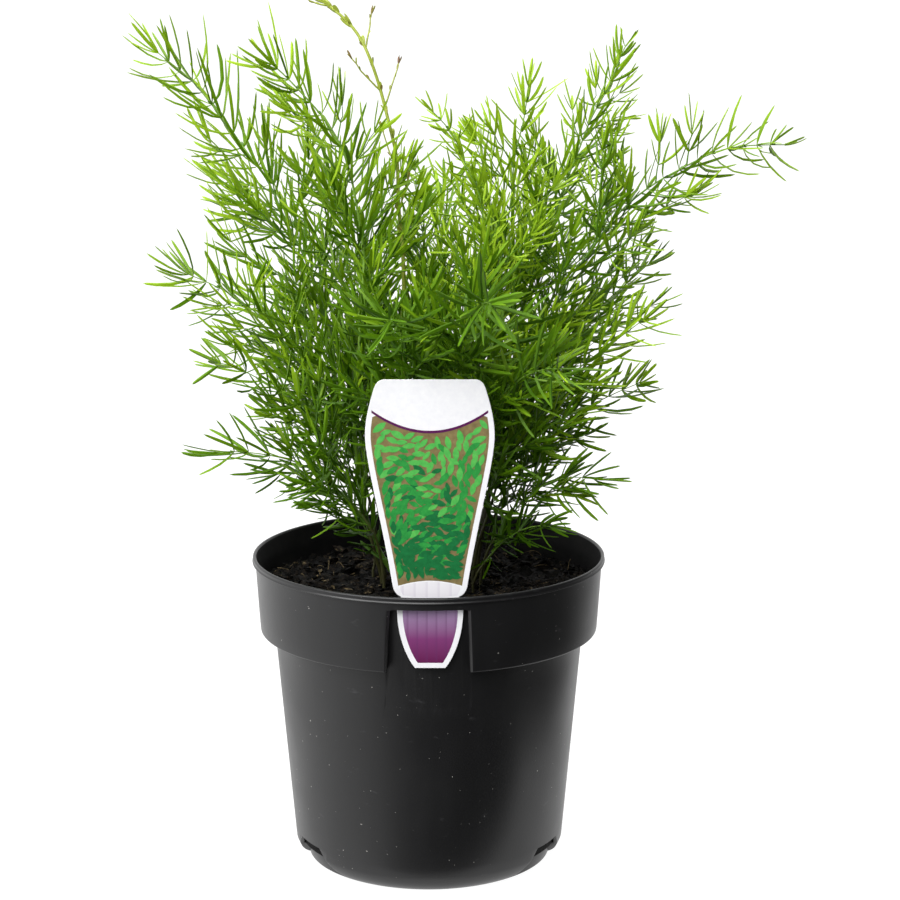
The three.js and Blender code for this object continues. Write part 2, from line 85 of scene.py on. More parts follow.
# The right side of the label's outline as a chain of curves, each with its pulls and its end, and the two
# arcs across the label: height at the middle, rise to the side and half width.
LABEL_CURVES = (
    ((10.4, 6), (12.7, 15), (12.7, 23)),
    ((11.2, 26.5), (11.2, 28.5)),
    ((13.5, 29.2), (14.3, 32.6)),
    ((18.2, 58), (24, 79), (24.5, 90.5)),
    ((24.6, 97.5), (22.7, 104), (21.4, 108.2)),
    ((20.3, 112.9), (17, 112.9)),
)
HEAD_ARC = (190.6, 7.6, 21.6)
FOOT_ARC = (132.6, -1.9, 11.7)
LILAC_FOOT = ((-10.4, 126.9), (-6, 126.2), (0, 125.9), (6, 126.2), (10.4, 126.9), (11.6, 129.2))
# The printed leaves: half width and fullness of a leaf of length 1, its length, and how far apart they lie.
LEAF = Sizes(tries=9000, half=0.21, full=0.8, size=(4.2, 6.4), apart=1.8, sparser=1.2, near=7)
SOIL = Sizes(
    top=113.5, relief=1.7, crown=1.2, spread=900, gap=0.35, skirt=2.5, behind_pocket=58.9,
    chips=1900, lumps=150, fibres=150,
)
# How near the pocket behind the slot loose parts may lie: in front of it, and beside it.
POCKET_ROOM = dict(chip=(56, 2), lump=(50, 6), fibre=(54, 3))
UPRIGHT_FIBRE = ((57.6, 12.2, 113.5), (57.3, 12.2, 117.5), (58.6, 12.4, 121))
# Room that needles leave round the label, the rim, the outside of the pot and the mix.
CLEAR = Sizes(label_side=1.5, label_behind=3, label_top=213.5, rim=(63.5, 74.5), rim_top=2, outside=-8, mix=2)
STEM = Sizes(buried=105, peg=118)
GROWTH = Sizes(
    node_gap=7, golden=137.508, first_node=0.26, last_spray=0.7, spray_length=46, longest_at=0.42,
    full_stem=230, spray_angle=52, lift=0.2, run=6.6,
)
# The zigzag of a stem, to one side and the other: its size and half a wave.
ZIGZAG = ((0.55, 14), (0.45, 23))
# How far needles stray from the rule of their tuft, and how far they bend up at most.
STRAY = Sizes(azimuth=20, bend=0.17, size=0.15, tone=0.09, twist=42)
UPSWEEP = 0.55

# ---------------------------------------------------------------- stems
# curve: the foot of the stem in plan and three points that shape it. The rest is how a stem differs from
# PLAIN. needle and width: size of the needles on the stem. tone: 0 is deep green and 1 fresh yellow green.
# fresh: how much the tone rises to the tip. lift: how much needles bend up. curl: how much they bend
# forwards, least and most. angle: how far they stand off near the end. tip and end: length of needles near
# the end and in the last tuft, as a share. lowest and skirt: where needles and hanging needles start, as a
# share of the stem. spray: length of the side sprays. stalk and pale: how thick and how pale the stem is.
# late: more side sprays near the end, each as share of the stem, azimuth and length. On a leaning stem
# azimuth 0 is its lower side and 180 its upper side.
PLAIN = dict(
    needle=22.0, width=1.4, tone=0.42, fresh=0.16, lift=1.0, curl=(0.35, 1.1), angle=62, tip=0.74, end=0.64,
    lowest=0.24, skirt=0.24, spray=1.0, stalk=1.0, pale=0.12, late=(),
)
# The low stems and sprigs by the rim have darker tones and the young top stems lighter ones: partly older and
# younger growth, partly painted shade low in the crown and painted light on its top.
STEMS = {
    "stem_upper_left": dict(
        curve=((-14, 4), (-33, 4, 206), (-51, 24, 279), (-110, 35, 328)), needle=23.5, width=1.35, tone=0.48,
        spray=0.9, lift=2.1, tip=0.78, end=0.68, curl=(0.6, 1.45), angle=68,
        late=((0.61, 5, 25), (0.65, 10, 25), (0.69, 350, 22), (0.76, 0, 17))),
    "stem_top_left": dict(
        curve=((-13, -7), (-57, -11, 178), (11, -5, 273), (-62, -5, 325)), needle=23.0, width=1.35, tone=0.46,
        spray=0.92, lift=1.8, tip=0.88, end=0.8, curl=(0.5, 1.3), angle=68, stalk=1.3, pale=0.55,
        late=((0.6, 185, 25), (0.65, 170, 22), (0.7, 195, 19), (0.76, 170, 16), (0.79, 0, 19),
              (0.82, 185, 11), (0.86, 10, 13))),
    "stem_top_right": dict(
        curve=((11, 0), (25, 2, 196), (29, 3, 258), (40, 10, 316)), needle=18.5, width=1.3, tone=0.68,
        late=((0.66, 180, 32), (0.7, 190, 30), (0.71, 0, 22), (0.75, 170, 26), (0.79, 185, 22),
              (0.79, 15, 11), (0.84, 175, 15))),
    "stem_tall_right": dict(
        curve=((12, 7), (29, 11, 204), (49, 25, 269), (81, 40, 330)), needle=16.5, width=1.25, tone=0.46,
        lift=0.8, tip=0.62, end=0.55, angle=55,
        late=((0.7, 180, 22), (0.72, 0, 22), (0.78, 10, 17), (0.8, 90, 18), (0.83, 350, 15), (0.86, 80, 12),
              (0.88, 10, 10))),
    "stem_far_right": dict(
        curve=((19, 0), (32, -4, 202), (63, 7, 295), (144, 15, 292)), needle=20.5, width=1.35, tone=0.48,
        lift=1.8, tip=0.5, end=0.5, curl=(0.4, 1.15), angle=72,
        late=((0.6, 20, 17), (0.64, 180, 13), (0.7, 180, 10), (0.73, 5, 23), (0.76, 180, 13),
              (0.82, 180, 11))),
    "stem_young_top": dict(
        curve=((7, -5), (16, -16, 193), (41, -19, 266), (2, -25, 308)), needle=12.0, width=1.1, tone=0.7,
        late=((0.71, 170, 11), (0.7, 60, 18))),
    "stem_crown_top": dict(
        curve=((0, 10), (-1, 13, 185), (2, 16, 230), (-6, 25, 281)), needle=11.5, width=1.2, tone=0.48,
        spray=0.8, late=((0.74, 100, 12),)),
    "stem_mid_left": dict(
        curve=((-18, -1), (-27, -2, 177), (-50, -3, 223), (-96, 0, 242)), width=1.35, lift=2.0, tip=0.92,
        end=0.85, curl=(0.4, 1.1), angle=66, late=((0.72, 0, 13), (0.8, 180, 8), (0.83, 0, 8))),
    "stem_front_left_low": dict(
        curve=((-19, -8), (-28, -16, 163), (-46, -25, 202), (-81, -34, 211)), needle=19.0, spray=0.8,
        skirt=0.12),
    "stem_low_left": dict(
        curve=((-18, -14), (-19, -18, 154), (-51, -32, 179), (-82, -38, 177)), needle=20.0, width=1.35,
        tone=0.32, spray=0.62, skirt=0.1),
    "stem_mid_right": dict(
        curve=((18, 7), (25, 11, 174), (54, 22, 211), (91, 32, 242)), needle=18.0, spray=0.72),
    "stem_front_right": dict(
        curve=((18, -6), (24, -8, 167), (50, -19, 204), (85, -24, 227)), needle=18.5, tone=0.52, spray=0.8,
        skirt=0.12),
    "stem_side_right": dict(
        curve=((23, 4), (24, 0, 156), (53, 8, 186), (86, 6, 196)), needle=18.0, spray=0.65, tone=0.4,
        skirt=0.12),
    "stem_low_right": dict(
        curve=((21, -12), (24, -15, 142), (44, -25, 168), (66, -27, 164)), needle=19.0, width=1.35, tone=0.3,
        spray=0.56, fresh=0.1, lift=0.4, late=((0.62, 0, 14), (0.75, 350, 12))),
    "sprig_right": dict(
        curve=((18, -17), (25, -20, 133), (33, -32, 148), (48, -36, 146)), needle=16.0, width=1.35, tone=0.16,
        spray=0.12, fresh=0.1, lift=0.1, lowest=0.46),
    "sprig_left": dict(
        curve=((-23, 6), (-17, 4, 135), (-40, 13, 152), (-54, 14, 150)), needle=13.5, width=1.3, tone=0.2,
        spray=0.8, skirt=0.12),
    "stem_front_centre": dict(
        curve=((5, -18), (5, -21, 174), (11, -46, 245), (24, -95, 243)), needle=27.0, width=1.85, tone=0.3,
        fresh=0.08, lift=0.15),
    "stem_front_far_right": dict(
        curve=((12, -17), (16, -19, 163), (27, -47, 217), (49, -80, 217)), needle=23.0, width=1.6, tone=0.34,
        fresh=0.08, lift=0.15),
    "stem_front_left": dict(
        curve=((-4, -17), (-7, -23, 170), (-7, -40, 237), (-14, -86, 236)), needle=21.0, width=1.45,
        tone=0.24, fresh=0.06, lift=0.6),
    "stem_back_left": dict(curve=((-8, 13), (-13, 25, 181), (-26, 41, 250), (-46, 90, 276)), width=1.6),
    "stem_back_centre": dict(curve=((1, 17), (2, 26, 180), (4, 55, 250), (6, 108, 266))),
    "stem_back_right": dict(
        curve=((10, 13), (17, 24, 179), (32, 45, 256), (60, 92, 276)), width=1.7, spray=1.25, tone=0.58),
    "stem_back_low_right": dict(
        curve=((16, 16), (27, 28, 164), (50, 47, 206), (80, 78, 216)), spray=0.8, tone=0.5),
    "stem_back_low_left": dict(
        curve=((-15, 15), (-26, 25, 166), (-46, 46, 204), (-74, 78, 218)), spray=0.85),
    "stem_back_low": dict(curve=((6, 22), (6, 29, 151), (11, 66, 177), (14, 100, 182))),
}
SHOOT = ((-5, 1), (-20, 1, 195), (10, -8, 330), (-49, 10, 353))
# The shoot's twigs, each as share of the shoot, length and azimuth.
TWIGS = ((0.95, 8, 45), (0.86, 12, 225), (0.79, 14, 45), (0.765, 15, 225), (0.66, 17, 315), (0.6, 12, 135))
TWIG_ANGLE = math.radians(38)


# ---------------------------------------------------------------- making meshes
def unit(vectors):
    """Vectors of length one."""
    return vectors / np.maximum(np.linalg.norm(vectors, axis=-1, keepdims=True), 1e-9)


class Stock:
    """Points and faces gathered for one piece. Each point has a tone and a share of the way along its part,
    and each batch of faces has the number of its finish."""

    def __init__(self):
        self.points, self.tones, self.alongs = [], [], []
        self.faces, self.finishes = [], []
        self.count = 0

    def add(self, points, faces, finish=0, tone=0.0, along=0.0):
        points = np.asarray(points, float).reshape(-1, 3)
        self.points.append(points)
        for values, value in ((self.tones, tone), (self.alongs, along)):
            values.append(np.broadcast_to(np.asarray(value, float), (len(points),)))
        for group in faces:
            self.faces.append(np.asarray(group, np.int64) + self.count)
            self.finishes.append(np.full(len(group), finish))
        self.count += len(points)


def new_piece(name, stock, materials, crease=40):
    """A mesh object from a stock. Edges sharper than the crease angle stay crisp."""
    mesh = bpy.data.meshes.new(name)
    points = np.concatenate(stock.points) * MM
    corners = np.concatenate([group.ravel() for group in stock.faces])
    sizes = np.concatenate([np.full(len(group), group.shape[1]) for group in stock.faces])
    mesh.vertices.add(len(points))
    mesh.vertices.foreach_set("co", points.astype(np.float32).ravel())
    mesh.loops.add(len(corners))
    mesh.loops.foreach_set("vertex_index", corners.astype(np.int32))
    mesh.polygons.add(len(sizes))
    starts = np.concatenate([[0], np.cumsum(sizes)[:-1]])
    mesh.polygons.foreach_set("loop_start", starts.astype(np.int32))
    mesh.update(calc_edges=True)
    mesh.polygons.foreach_set("material_index", np.concatenate(stock.finishes).astype(np.int32))
    for label, values in (("tone", stock.tones), ("along", stock.alongs)):
        layer = mesh.attributes.new(label, "FLOAT", "POINT")
        layer.data.foreach_set("value", np.concatenate(values).astype(np.float32))
    smooth(mesh, crease)
    for made in materials:
        mesh.materials.append(made)
    return placed(bpy.data.objects.new(name, mesh))


def placed(thing):
    """Puts an object in the scene."""
    bpy.context.scene.collection.objects.link(thing)
    return thing


def smooth(mesh, crease):
    """Smooth shading, but for edges sharper than the crease angle."""
    mesh.polygons.foreach_set("use_smooth", np.ones(len(mesh.polygons), bool))
    mesh.set_sharp_from_angle(angle=math.radians(crease))


def settle(thing, node):
    """The piece stands for a solid part, which it hides, and rides with the plant."""
    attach(thing, "root")
    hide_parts(node)


def ring(count):
    """The points of a ring by number, and for each the one after it."""
    here = np.arange(count)
    return here, (here + 1) % count


def faces_of(*corners):
    """Faces from their corners in order, each an array of points or one point that they all share."""
    return np.stack(np.broadcast_arrays(*corners), axis=1)


def walls(count, rings):
    """Four-cornered faces that join each ring of a stack to the next."""
    here, after = ring(count)
    band = faces_of(here, after, after + count, here + count)
    return np.concatenate([band + k * count for k in range(rings - 1)])


def closed_stack(count, rings):
    """The walls of a stack of rings, with a flat cap at each end."""
    here = np.arange(count)
    return [walls(count, rings), here[::-1][None], (here + (rings - 1) * count)[None]]


def all_round(count):
    """Even angles all round."""
    return np.linspace(0, 2 * np.pi, count, endpoint=False)


def across_of(line):
    """A level direction across a line, which keeps a rod's rings from twisting along it."""
    span = (line[-1] - line[0]) * (1, 1, 0)
    if np.linalg.norm(span) > 1:
        return unit(np.array([-span[1], span[0], 0]))
    return np.array([1.0, 0, 0])


def square_to(axis, across):
    """Two directions square to an axis and to one another, the first as near as can be to another one."""
    side = unit(across - axis * np.sum(axis * across, axis=-1, keepdims=True))
    return side, np.cross(axis, side)


def outward(axis, across, azimuth):
    """The directions straight out of an axis at azimuths round it, counted from the lower side."""
    side, other = square_to(axis, across)
    turn = np.radians(azimuth)[..., None]
    return side * np.sin(turn) - other * np.cos(turn)


def follow(line, shares):
    """Places and headings at shares of the length of a finely stepped line, and its length."""
    steps = np.linalg.norm(np.diff(line, axis=0), axis=1)
    run = np.concatenate([[0], np.cumsum(steps)])
    wanted = np.asarray(shares, float) * run[-1]
    place, heading = (
        np.stack([np.interp(wanted, run, values[:, k]) for k in range(3)], axis=-1)
        for values in (line, np.gradient(line, axis=0)))
    return place, unit(heading), run[-1]


def bezier(ends, steps):
    """Points of a curve with two, three or four given points."""
    s = np.linspace(0, 1, steps)[:, None]
    a = [np.asarray(p, float) for p in ends]
    while len(a) > 1:
        a = [p * (1 - s) + q * s for p, q in zip(a[:-1], a[1:])]
    return a[0]


def tube(stock, line, radius, sides, finish=0, tone=0.0):
    """A closed round rod along a line, with one radius and tone or one for each point."""
    rings = len(line)
    side, other = square_to(unit(np.gradient(line, axis=0)), across_of(line))
    turn = all_round(sides)[:, None]
    circle = side[:, None] * np.cos(turn) + other[:, None] * np.sin(turn)
    points = line[:, None] + circle * np.broadcast_to(radius, (rings,))[:, None, None]
    tone, share = (np.repeat(np.broadcast_to(v, (rings,)), sides) for v in (tone, np.linspace(0, 1, rings)))
    stock.add(points, closed_stack(sides, rings), finish, tone, share)


# A blade is five three-cornered rings between a narrow root and a pointed tip. It keeps its width for most
# of its length, and its keel stands out by a share of half its width.
BLADE_AT = np.array([0.0, 0.05, 0.24, 0.52, 0.78, 0.94, 1.0])
BLADE_WIDTH = np.array([0.42, 0.84, 1.0, 0.96, 0.66])
BLADE_KEEL = 0.8
BLADE_SHARE = np.concatenate([BLADE_AT[:1], np.repeat(BLADE_AT[1:-1], 3), BLADE_AT[-1:]])


def blades(stock, parts, finish, keep):
    """Narrow pointed leaves, flat above and keeled below, from arrays of their parts: root, heading, bend,
    length, width, flat, twist and tone. The bend is added to the heading along the way, and flat is the way
    that the broad face looks before the twist. Those that fail the keep test aren't made."""
    s = BLADE_AT[None, :, None]
    root, heading, bend, length = parts[:4]
    spine = root[:, None] + length[:, None, None] * (heading[:, None] * s + bend[:, None] * s * s / 2)
    if keep:
        stays = keep(spine)
        spine, *parts = (part[stays] for part in (spine, *parts))
    if not len(spine):
        return
    _, heading, bend, _, width, flat, twist, tone = parts
    along = unit(heading[:, None] + bend[:, None] * s)
    wide = unit(np.cross(along, flat[:, None]))
    face = np.cross(along, wide)
    turn = np.radians(twist)[:, None, None]
    wide, face = wide * np.cos(turn) + face * np.sin(turn), face * np.cos(turn) - wide * np.sin(turn)
    half = (width[:, None] * BLADE_WIDTH[None] / 2)[..., None]
    middle, wide, face = spine[:, 1:-1], wide[:, 1:-1], face[:, 1:-1]
    rings = np.stack([middle - wide * half, middle - face * half * BLADE_KEEL, middle + wide * half], axis=2)
    points = np.concatenate([spine[:, :1], rings.reshape(len(spine), -1, 3), spine[:, -1:]], axis=1)
    here, after = ring(3)
    last = points.shape[1] - 4
    ends = np.concatenate([faces_of(0, 1 + after, 1 + here), faces_of(last + here, last + after, last + 3)])
    first = (np.arange(len(spine)) * points.shape[1])[:, None, None]
    faces = [(group[None] + first).reshape(-1, group.shape[1])
             for group in (1 + walls(3, len(BLADE_WIDTH)), ends)]
    stock.add(points, faces, finish, np.repeat(tone, points.shape[1]), np.tile(BLADE_SHARE, len(spine)))


# ---------------------------------------------------------------- materials
def linear(colour):
    """An sRGB hex colour as the linear numbers that shaders take."""
    parts = [int(colour[i:i + 2], 16) / 255 for i in (1, 3, 5)]
    return [c / 12.92 if c <= 0.04045 else ((c + 0.055) / 1.055) ** 2.4 for c in parts] + [1.0]


def grey(level):
    """A ramp's grey of a height or mask value from 0 to 1, as the hex colour whose linear value it is."""
    encoded = 12.92 * level if level <= 0.0031308 else 1.055 * level ** (1 / 2.4) - 0.055
    return "#" + f"{round(encoded * 255):02x}" * 3


def blotch(size):
    """The scale of a noise whose blotches are this many millimetres across."""
    return 1 / (size * MM)


def add(tree, kind, inputs=None, stops=None, **settings):
    """Adds a shader node with its settings, its inputs as values or links, and the stops of a ramp. A node
    that is given as an input is linked by its first output."""
    node = tree.nodes.new("ShaderNode" + kind)
    for name, value in settings.items():
        setattr(node, name, value)
    for name, value in (inputs or {}).items():
        if isinstance(value, bpy.types.Node):
            value = value.outputs[0]
        if isinstance(value, bpy.types.NodeSocket):
            tree.links.new(value, node.inputs[name])
        else:
            node.inputs[name].default_value = value
    if stops:
        elements = node.color_ramp.elements
        while len(elements) < len(stops):
            elements.new(0.5)
        for element, (at, colour) in zip(elements, stops):
            element.position = at
            element.color = linear(colour)
    return node


def new_material(name):
    """An empty material, its node tree, and the piece's own coordinates for its patterns."""
    made = bpy.data.materials.new(name)
    made.use_nodes = True
    tree = made.node_tree
    tree.nodes.clear()
    return made, tree, add(tree, "TexCoord").outputs["Object"]


def finished(made, shader):
    """The material with a shader as its surface."""
    add(made.node_tree, "OutputMaterial", {"Surface": shader})
    return made


def stained_polypropylene():
    """The same plastic inside the pot, dulled by damp mix: a thin film of peat takes nearly all its shine."""
    made, tree, place = new_material("black_polypropylene_inside")
    film = add(tree, "TexNoise", {"Vector": place, "Scale": blotch(8.333), "Detail": 5, "Roughness": 0.65})
    ramp = add(tree, "ValToRGB", {"Fac": film}, [(0.35, "#131314"), (0.7, "#1c1b1b")])
    return finished(made, add(tree, "BsdfPrincipled", {
        "Base Color": ramp, "Roughness": 0.55, "IOR": 1.49, "Specular IOR Level": 0.08}))


def moulded_polypropylene():
    """Recycled black polypropylene, injection moulded: a satin charcoal skin, a fine grain from the mould,
    faint flow streaks down the wall, and pale dust and scuffs. The real grain is finer than 0.1 mm and the
    real dust finer than 0.5 mm, and both are drawn coarser so that they show."""
    made, tree, place = new_material("black_polypropylene")
    flow = add(tree, "Mapping", {"Vector": place, "Scale": (1, 1, 0.12)})
    streak = add(tree, "TexNoise", {"Vector": flow, "Scale": blotch(16.67), "Detail": 4, "Roughness": 0.6})
    cloud = add(tree, "TexNoise", {"Vector": place, "Scale": blotch(28.57), "Detail": 3})
    speck = add(tree, "TexNoise", {"Vector": place, "Scale": blotch(1.1111), "Detail": 1})
    specks = add(tree, "ValToRGB", {"Fac": speck}, [(0.788, grey(0)), (0.808, grey(1))])
    smear = add(tree, "Mapping", {"Vector": place, "Scale": (1, 1, 2.4), "Rotation": (0.2, 0.5, 0.3)})
    scuff = add(tree, "TexNoise", {"Vector": smear, "Scale": blotch(6.667), "Detail": 6})
    scuffs = add(tree, "ValToRGB", {"Fac": scuff}, [(0.67, grey(0)), (0.8, grey(0.35))])
    body = add(tree, "ValToRGB", {"Fac": streak}, [(0.3, "#0e0e0f"), (0.7, "#141415")])
    dusty = add(tree, "Mix", {0: scuffs, 6: body, 7: linear("#48484a")}, data_type="RGBA")
    specked = add(tree, "Mix", {0: specks, 6: dusty.outputs[2], 7: linear("#a5a39e")}, data_type="RGBA")
    rough = add(tree, "MapRange", {
        "Value": cloud, "From Min": 0.3, "From Max": 0.7, "To Min": 0.34, "To Max": 0.42})
    grain = add(tree, "TexNoise", {"Vector": place, "Scale": blotch(0.7143), "Detail": 2})
    bump = add(tree, "Bump", {"Strength": 0.12, "Distance": 0.0002, "Height": grain})
    return finished(made, add(tree, "BsdfPrincipled", {
        "Base Color": specked.outputs[2], "Roughness": rough, "IOR": 1.49, "Normal": bump}))


def potting_bark():
    """Composted bark and peat, moist and loose: dark crumbs of many browns, dull, with rough broken faces."""
    made, tree, place = new_material("bark_and_peat_mix")
    crumb = add(tree, "TexNoise", {"Vector": place, "Scale": blotch(2.0833), "Detail": 5, "Roughness": 0.7})
    tone = add(tree, "Attribute", attribute_name="tone").outputs["Fac"]
    mixed = add(tree, "Math", {0: tone, 1: crumb}, operation="ADD")
    ramp = add(tree, "ValToRGB", {"Fac": mixed}, [
        (0.42, "#010101"), (0.62, "#060504"), (0.8, "#211b14"), (0.97, "#63573f")])
    fine = add(tree, "TexNoise", {"Vector": place, "Scale": blotch(0.625), "Detail": 4})
    bump = add(tree, "Bump", {"Strength": 0.6, "Distance": 0.0006, "Height": fine})
    return finished(made, add(tree, "BsdfPrincipled", {
        "Base Color": ramp, "Roughness": 0.7, "IOR": 1.4, "Specular IOR Level": 0.12, "Normal": bump}))


def printed_card(name, colour, darker):
    """Ink on a polystyrene label card, offset printed: flat colour with a faint mottle and a smooth gloss."""
    made, tree, place = new_material(name)
    mottle = add(tree, "TexNoise", {"Vector": place, "Scale": blotch(2.381), "Detail": 5, "Roughness": 0.65})
    ramp = add(tree, "ValToRGB", {"Fac": mottle}, [(0.3, darker), (0.68, colour)])
    return finished(made, add(tree, "BsdfPrincipled", {"Base Color": ramp, "Roughness": 0.34, "IOR": 1.5}))


def pleated_print(name, stops, pleat, line):
    """Ink on the label's foot: a blend of colour down the card, with thin folds drawn pleat mm apart."""
    made, tree, place = new_material(name)
    apart = add(tree, "SeparateXYZ", {"Vector": place})
    low, high = (LABEL.bottom + rise for rise in (2, 34))
    fall = add(tree, "MapRange", {"Value": apart.outputs["Z"], "From Min": low * MM, "From Max": high * MM})
    blend = add(tree, "ValToRGB", {"Fac": fall}, stops)
    across = add(tree, "Math", {0: apart, 1: pleat * MM}, operation="DIVIDE")
    part = add(tree, "Math", {0: across}, operation="FRACT")
    fold = add(tree, "ValToRGB", {"Fac": part}, [
        (0.0, grey(0.4)), (0.08, grey(0.02)), (0.75, grey(0.1)), (1.0, grey(0.45))])
    shade = add(tree, "Mix", {0: fold, 6: blend, 7: linear(line)}, data_type="RGBA")
    return finished(made, add(tree, "BsdfPrincipled", {
        "Base Color": shade.outputs[2], "Roughness": 0.34, "IOR": 1.5}))


def living_leaf():
    """Fresh cladodes of the fern, grown: waxy green, paler on young growth and towards the tip, with light
    coming through them. The tone comes with the mesh; where it is darker low in the crown and paler on top,
    that is partly older and younger growth and partly painted shade and painted light."""
    made, tree, place = new_material("fern_needle")
    cloud = add(tree, "TexNoise", {"Vector": place, "Scale": blotch(3.846), "Detail": 2})
    shift = add(tree, "MapRange", {"Value": cloud, "To Min": -0.08, "To Max": 0.08})
    tone, along = (add(tree, "Attribute", attribute_name=name).outputs["Fac"] for name in ("tone", "along"))
    paler = add(tree, "MapRange", {"Value": along, "From Min": 0.55, "To Min": 0.0, "To Max": 0.1})
    first = add(tree, "Math", {0: tone, 1: shift}, operation="ADD")
    total = add(tree, "Math", {0: first, 1: paler}, operation="ADD")
    ramp = add(tree, "ValToRGB", {"Fac": total}, [
        (0.0, "#2a4906"), (0.25, "#446c09"), (0.5, "#64900e"), (0.72, "#8bb01b"), (0.9, "#afd032"),
        (0.985, "#bbd83c")])
    glow = add(tree, "HueSaturation", {"Hue": 0.49, "Saturation": 1.1, "Value": 1.25, "Color": ramp})
    through = add(tree, "BsdfTranslucent", {"Color": glow})
    wax = add(tree, "BsdfPrincipled", {
        "Base Color": ramp, "Roughness": 0.42, "IOR": 1.42, "Specular IOR Level": 0.3})
    return finished(made, add(tree, "MixShader", {0: 0.3, 1: wax, 2: through}))


def green_stem(name, stops):
    """Stems of the fern, grown: tough and smooth, green where young, browner at the nodes and the foot."""
    made, tree, place = new_material(name)
    cloud = add(tree, "TexNoise", {"Vector": place, "Scale": blotch(3.333), "Detail": 3})
    shift = add(tree, "MapRange", {"Value": cloud, "To Min": -0.15, "To Max": 0.15})
    tone = add(tree, "Attribute", attribute_name="tone").outputs["Fac"]
    total = add(tree, "Math", {0: tone, 1: shift}, operation="ADD")
    ramp = add(tree, "ValToRGB", {"Fac": total}, stops)
    ridge = add(tree, "TexNoise", {"Vector": place, "Scale": blotch(1.1111), "Detail": 2})
    bump = add(tree, "Bump", {"Strength": 0.25, "Distance": 0.0002, "Height": ridge})
    return finished(made, add(tree, "BsdfPrincipled", {
        "Base Color": ramp, "Roughness": 0.5, "IOR": 1.45, "Normal": bump}))


def light_table():
    """Opal acrylic sheet, cast, lit evenly from below: shadows on it are filled with light to near white."""
    made, tree, place = new_material("opal_acrylic_light_table")
    cloud = add(tree, "TexNoise", {"Vector": place, "Scale": blotch(333.33), "Detail": 3})
    ramp = add(tree, "ValToRGB", {"Fac": cloud}, [(0.3, "#606060"), (0.7, "#646464")])
    return finished(made, add(tree, "BsdfPrincipled", {
        "Base Color": ramp, "Roughness": 0.8, "IOR": 1.49, "Emission Color": linear("#ffffff"),
        "Emission Strength": 0.97}))


POT_PLASTIC = moulded_polypropylene()
POT_INSIDE = stained_polypropylene()
POTTING_MIX = potting_bark()
NEEDLE = living_leaf()
STALK = green_stem("fern_stem", [(0.0, "#1e170c"), (0.3, "#3a3d17"), (0.7, "#54801c"), (1.0, "#7d9f34")])
SHOOT_SKIN = green_stem("young_shoot", [
    (0.0, "#6b4a2c"), (0.3, "#97a03f"), (0.65, "#909f34"), (1.0, "#b2ba52")])
LABEL_INKS = [
    printed_card("label_card", "#ececee", "#e4e4e8"),
    printed_card("print_olive", "#87784f", "#6b5d3c"),
    printed_card("print_deep_green", "#14713a", "#0b5a2b"),
    printed_card("print_green", "#2f963f", "#1c7a34"),
    printed_card("print_light_green", "#5cb653", "#3fa145"),
    printed_card("print_plum", "#5a0f52", "#4c0a46"),
    pleated_print("print_lilac", [(0.0, "#d3cbd9"), (1.0, "#e4e2e6")], 4.6, "#c2bcc9"),
    pleated_print("print_purple", [(0.0, "#5c1145"), (0.3, "#78366c"), (0.62, "#9a82a5"), (1.0, "#b3a9c3")],
                  3.7, "#5a2c5c"),
]
CARD, OLIVE, GREENS, PLUM, LILAC, PURPLE = 0, 1, 2, 5, 6, 7


# ---------------------------------------------------------------- pot
body_slope = (POT.body_top - POT.body_foot) / (POT.collar_bottom - POT.corner)
collar_lean = (POT.collar_top_radius - POT.collar_foot_radius) / (POT.collar_top - POT.collar_bottom)


def body_radius(z):
    """Outer radius of the tapered body at a height."""
    return POT.body_foot + body_slope * (z - POT.corner)


def collar_outside(z):
    """Outer radius of the collar at a height."""
    return POT.collar_foot_radius + collar_lean * (z - POT.collar_bottom)


def collar_inside(z):
    """Inner radius of the collar at a height."""
    lean = collar_lean * POT.inside_lean
    return POT.collar_foot_radius - POT.wall + lean * (z - POT.collar_bottom)


def turned(name, profile, segments=192):
    """A closed solid of revolution from points of radius and height that start and end on the axis."""
    rings = np.asarray(profile[1:-1], float)
    turn = all_round(segments)
    around = np.stack([np.cos(turn), np.sin(turn)], axis=1)
    points = np.concatenate([rings[:, None, :1] * around, np.repeat(rings[:, None, 1:], segments, 1)], axis=2)
    ends = [(0, 0, profile[end][1]) for end in (0, -1)]
    here, after = ring(segments)
    middle = len(rings) * segments
    last = middle - segments
    stock = Stock()
    stock.add(np.concatenate([points.reshape(-1, 3), ends]), [
        walls(segments, len(rings)), faces_of(middle, after, here),
        faces_of(here + last, after + last, middle + 1)])
    return new_piece(name, stock, [])


def prism(name, outline, place):
    """A closed prism of an outline. place gives the point for an outline's point at an end, 0 or 1."""
    stock = Stock()
    stock.add([place(x, y, end) for end in (0, 1) for x, y in outline], closed_stack(len(outline), 2))
    return new_piece(name, stock, [])


def apply_modifiers(thing):
    """Replaces the mesh of an object by the one that its modifiers make of it."""
    graph = bpy.context.evaluated_depsgraph_get()
    mesh = bpy.data.meshes.new_from_object(thing.evaluated_get(graph))
    thing.modifiers.clear()
    old, thing.data = thing.data, mesh
    bpy.data.meshes.remove(old)


def combine(target, operation, *tools):
    """Cuts, joins or intersects a solid with others, which are used up."""
    for tool in tools:
        change = target.modifiers.new("combine", "BOOLEAN")
        change.operation = operation
        change.solver = "EXACT"
        change.object = tool
        apply_modifiers(target)
        bpy.data.objects.remove(tool)
    return target


def reworked(thing, change):
    """Puts an object's mesh through a change that works on it as a bmesh."""
    work = bmesh.new()
    work.from_mesh(thing.data)
    change(work)
    work.to_mesh(thing.data)
    work.free()


def face_outwards(work):
    """Turns every face of a closed mesh outwards."""
    bmesh.ops.recalc_face_normals(work, faces=work.faces)


def weld(work):
    """Joins points that all but touch, which clears the slivers that cutting leaves."""
    bmesh.ops.remove_doubles(work, verts=work.verts, dist=WELD * MM)
    bmesh.ops.dissolve_degenerate(work, dist=WELD * MM, edges=work.edges)


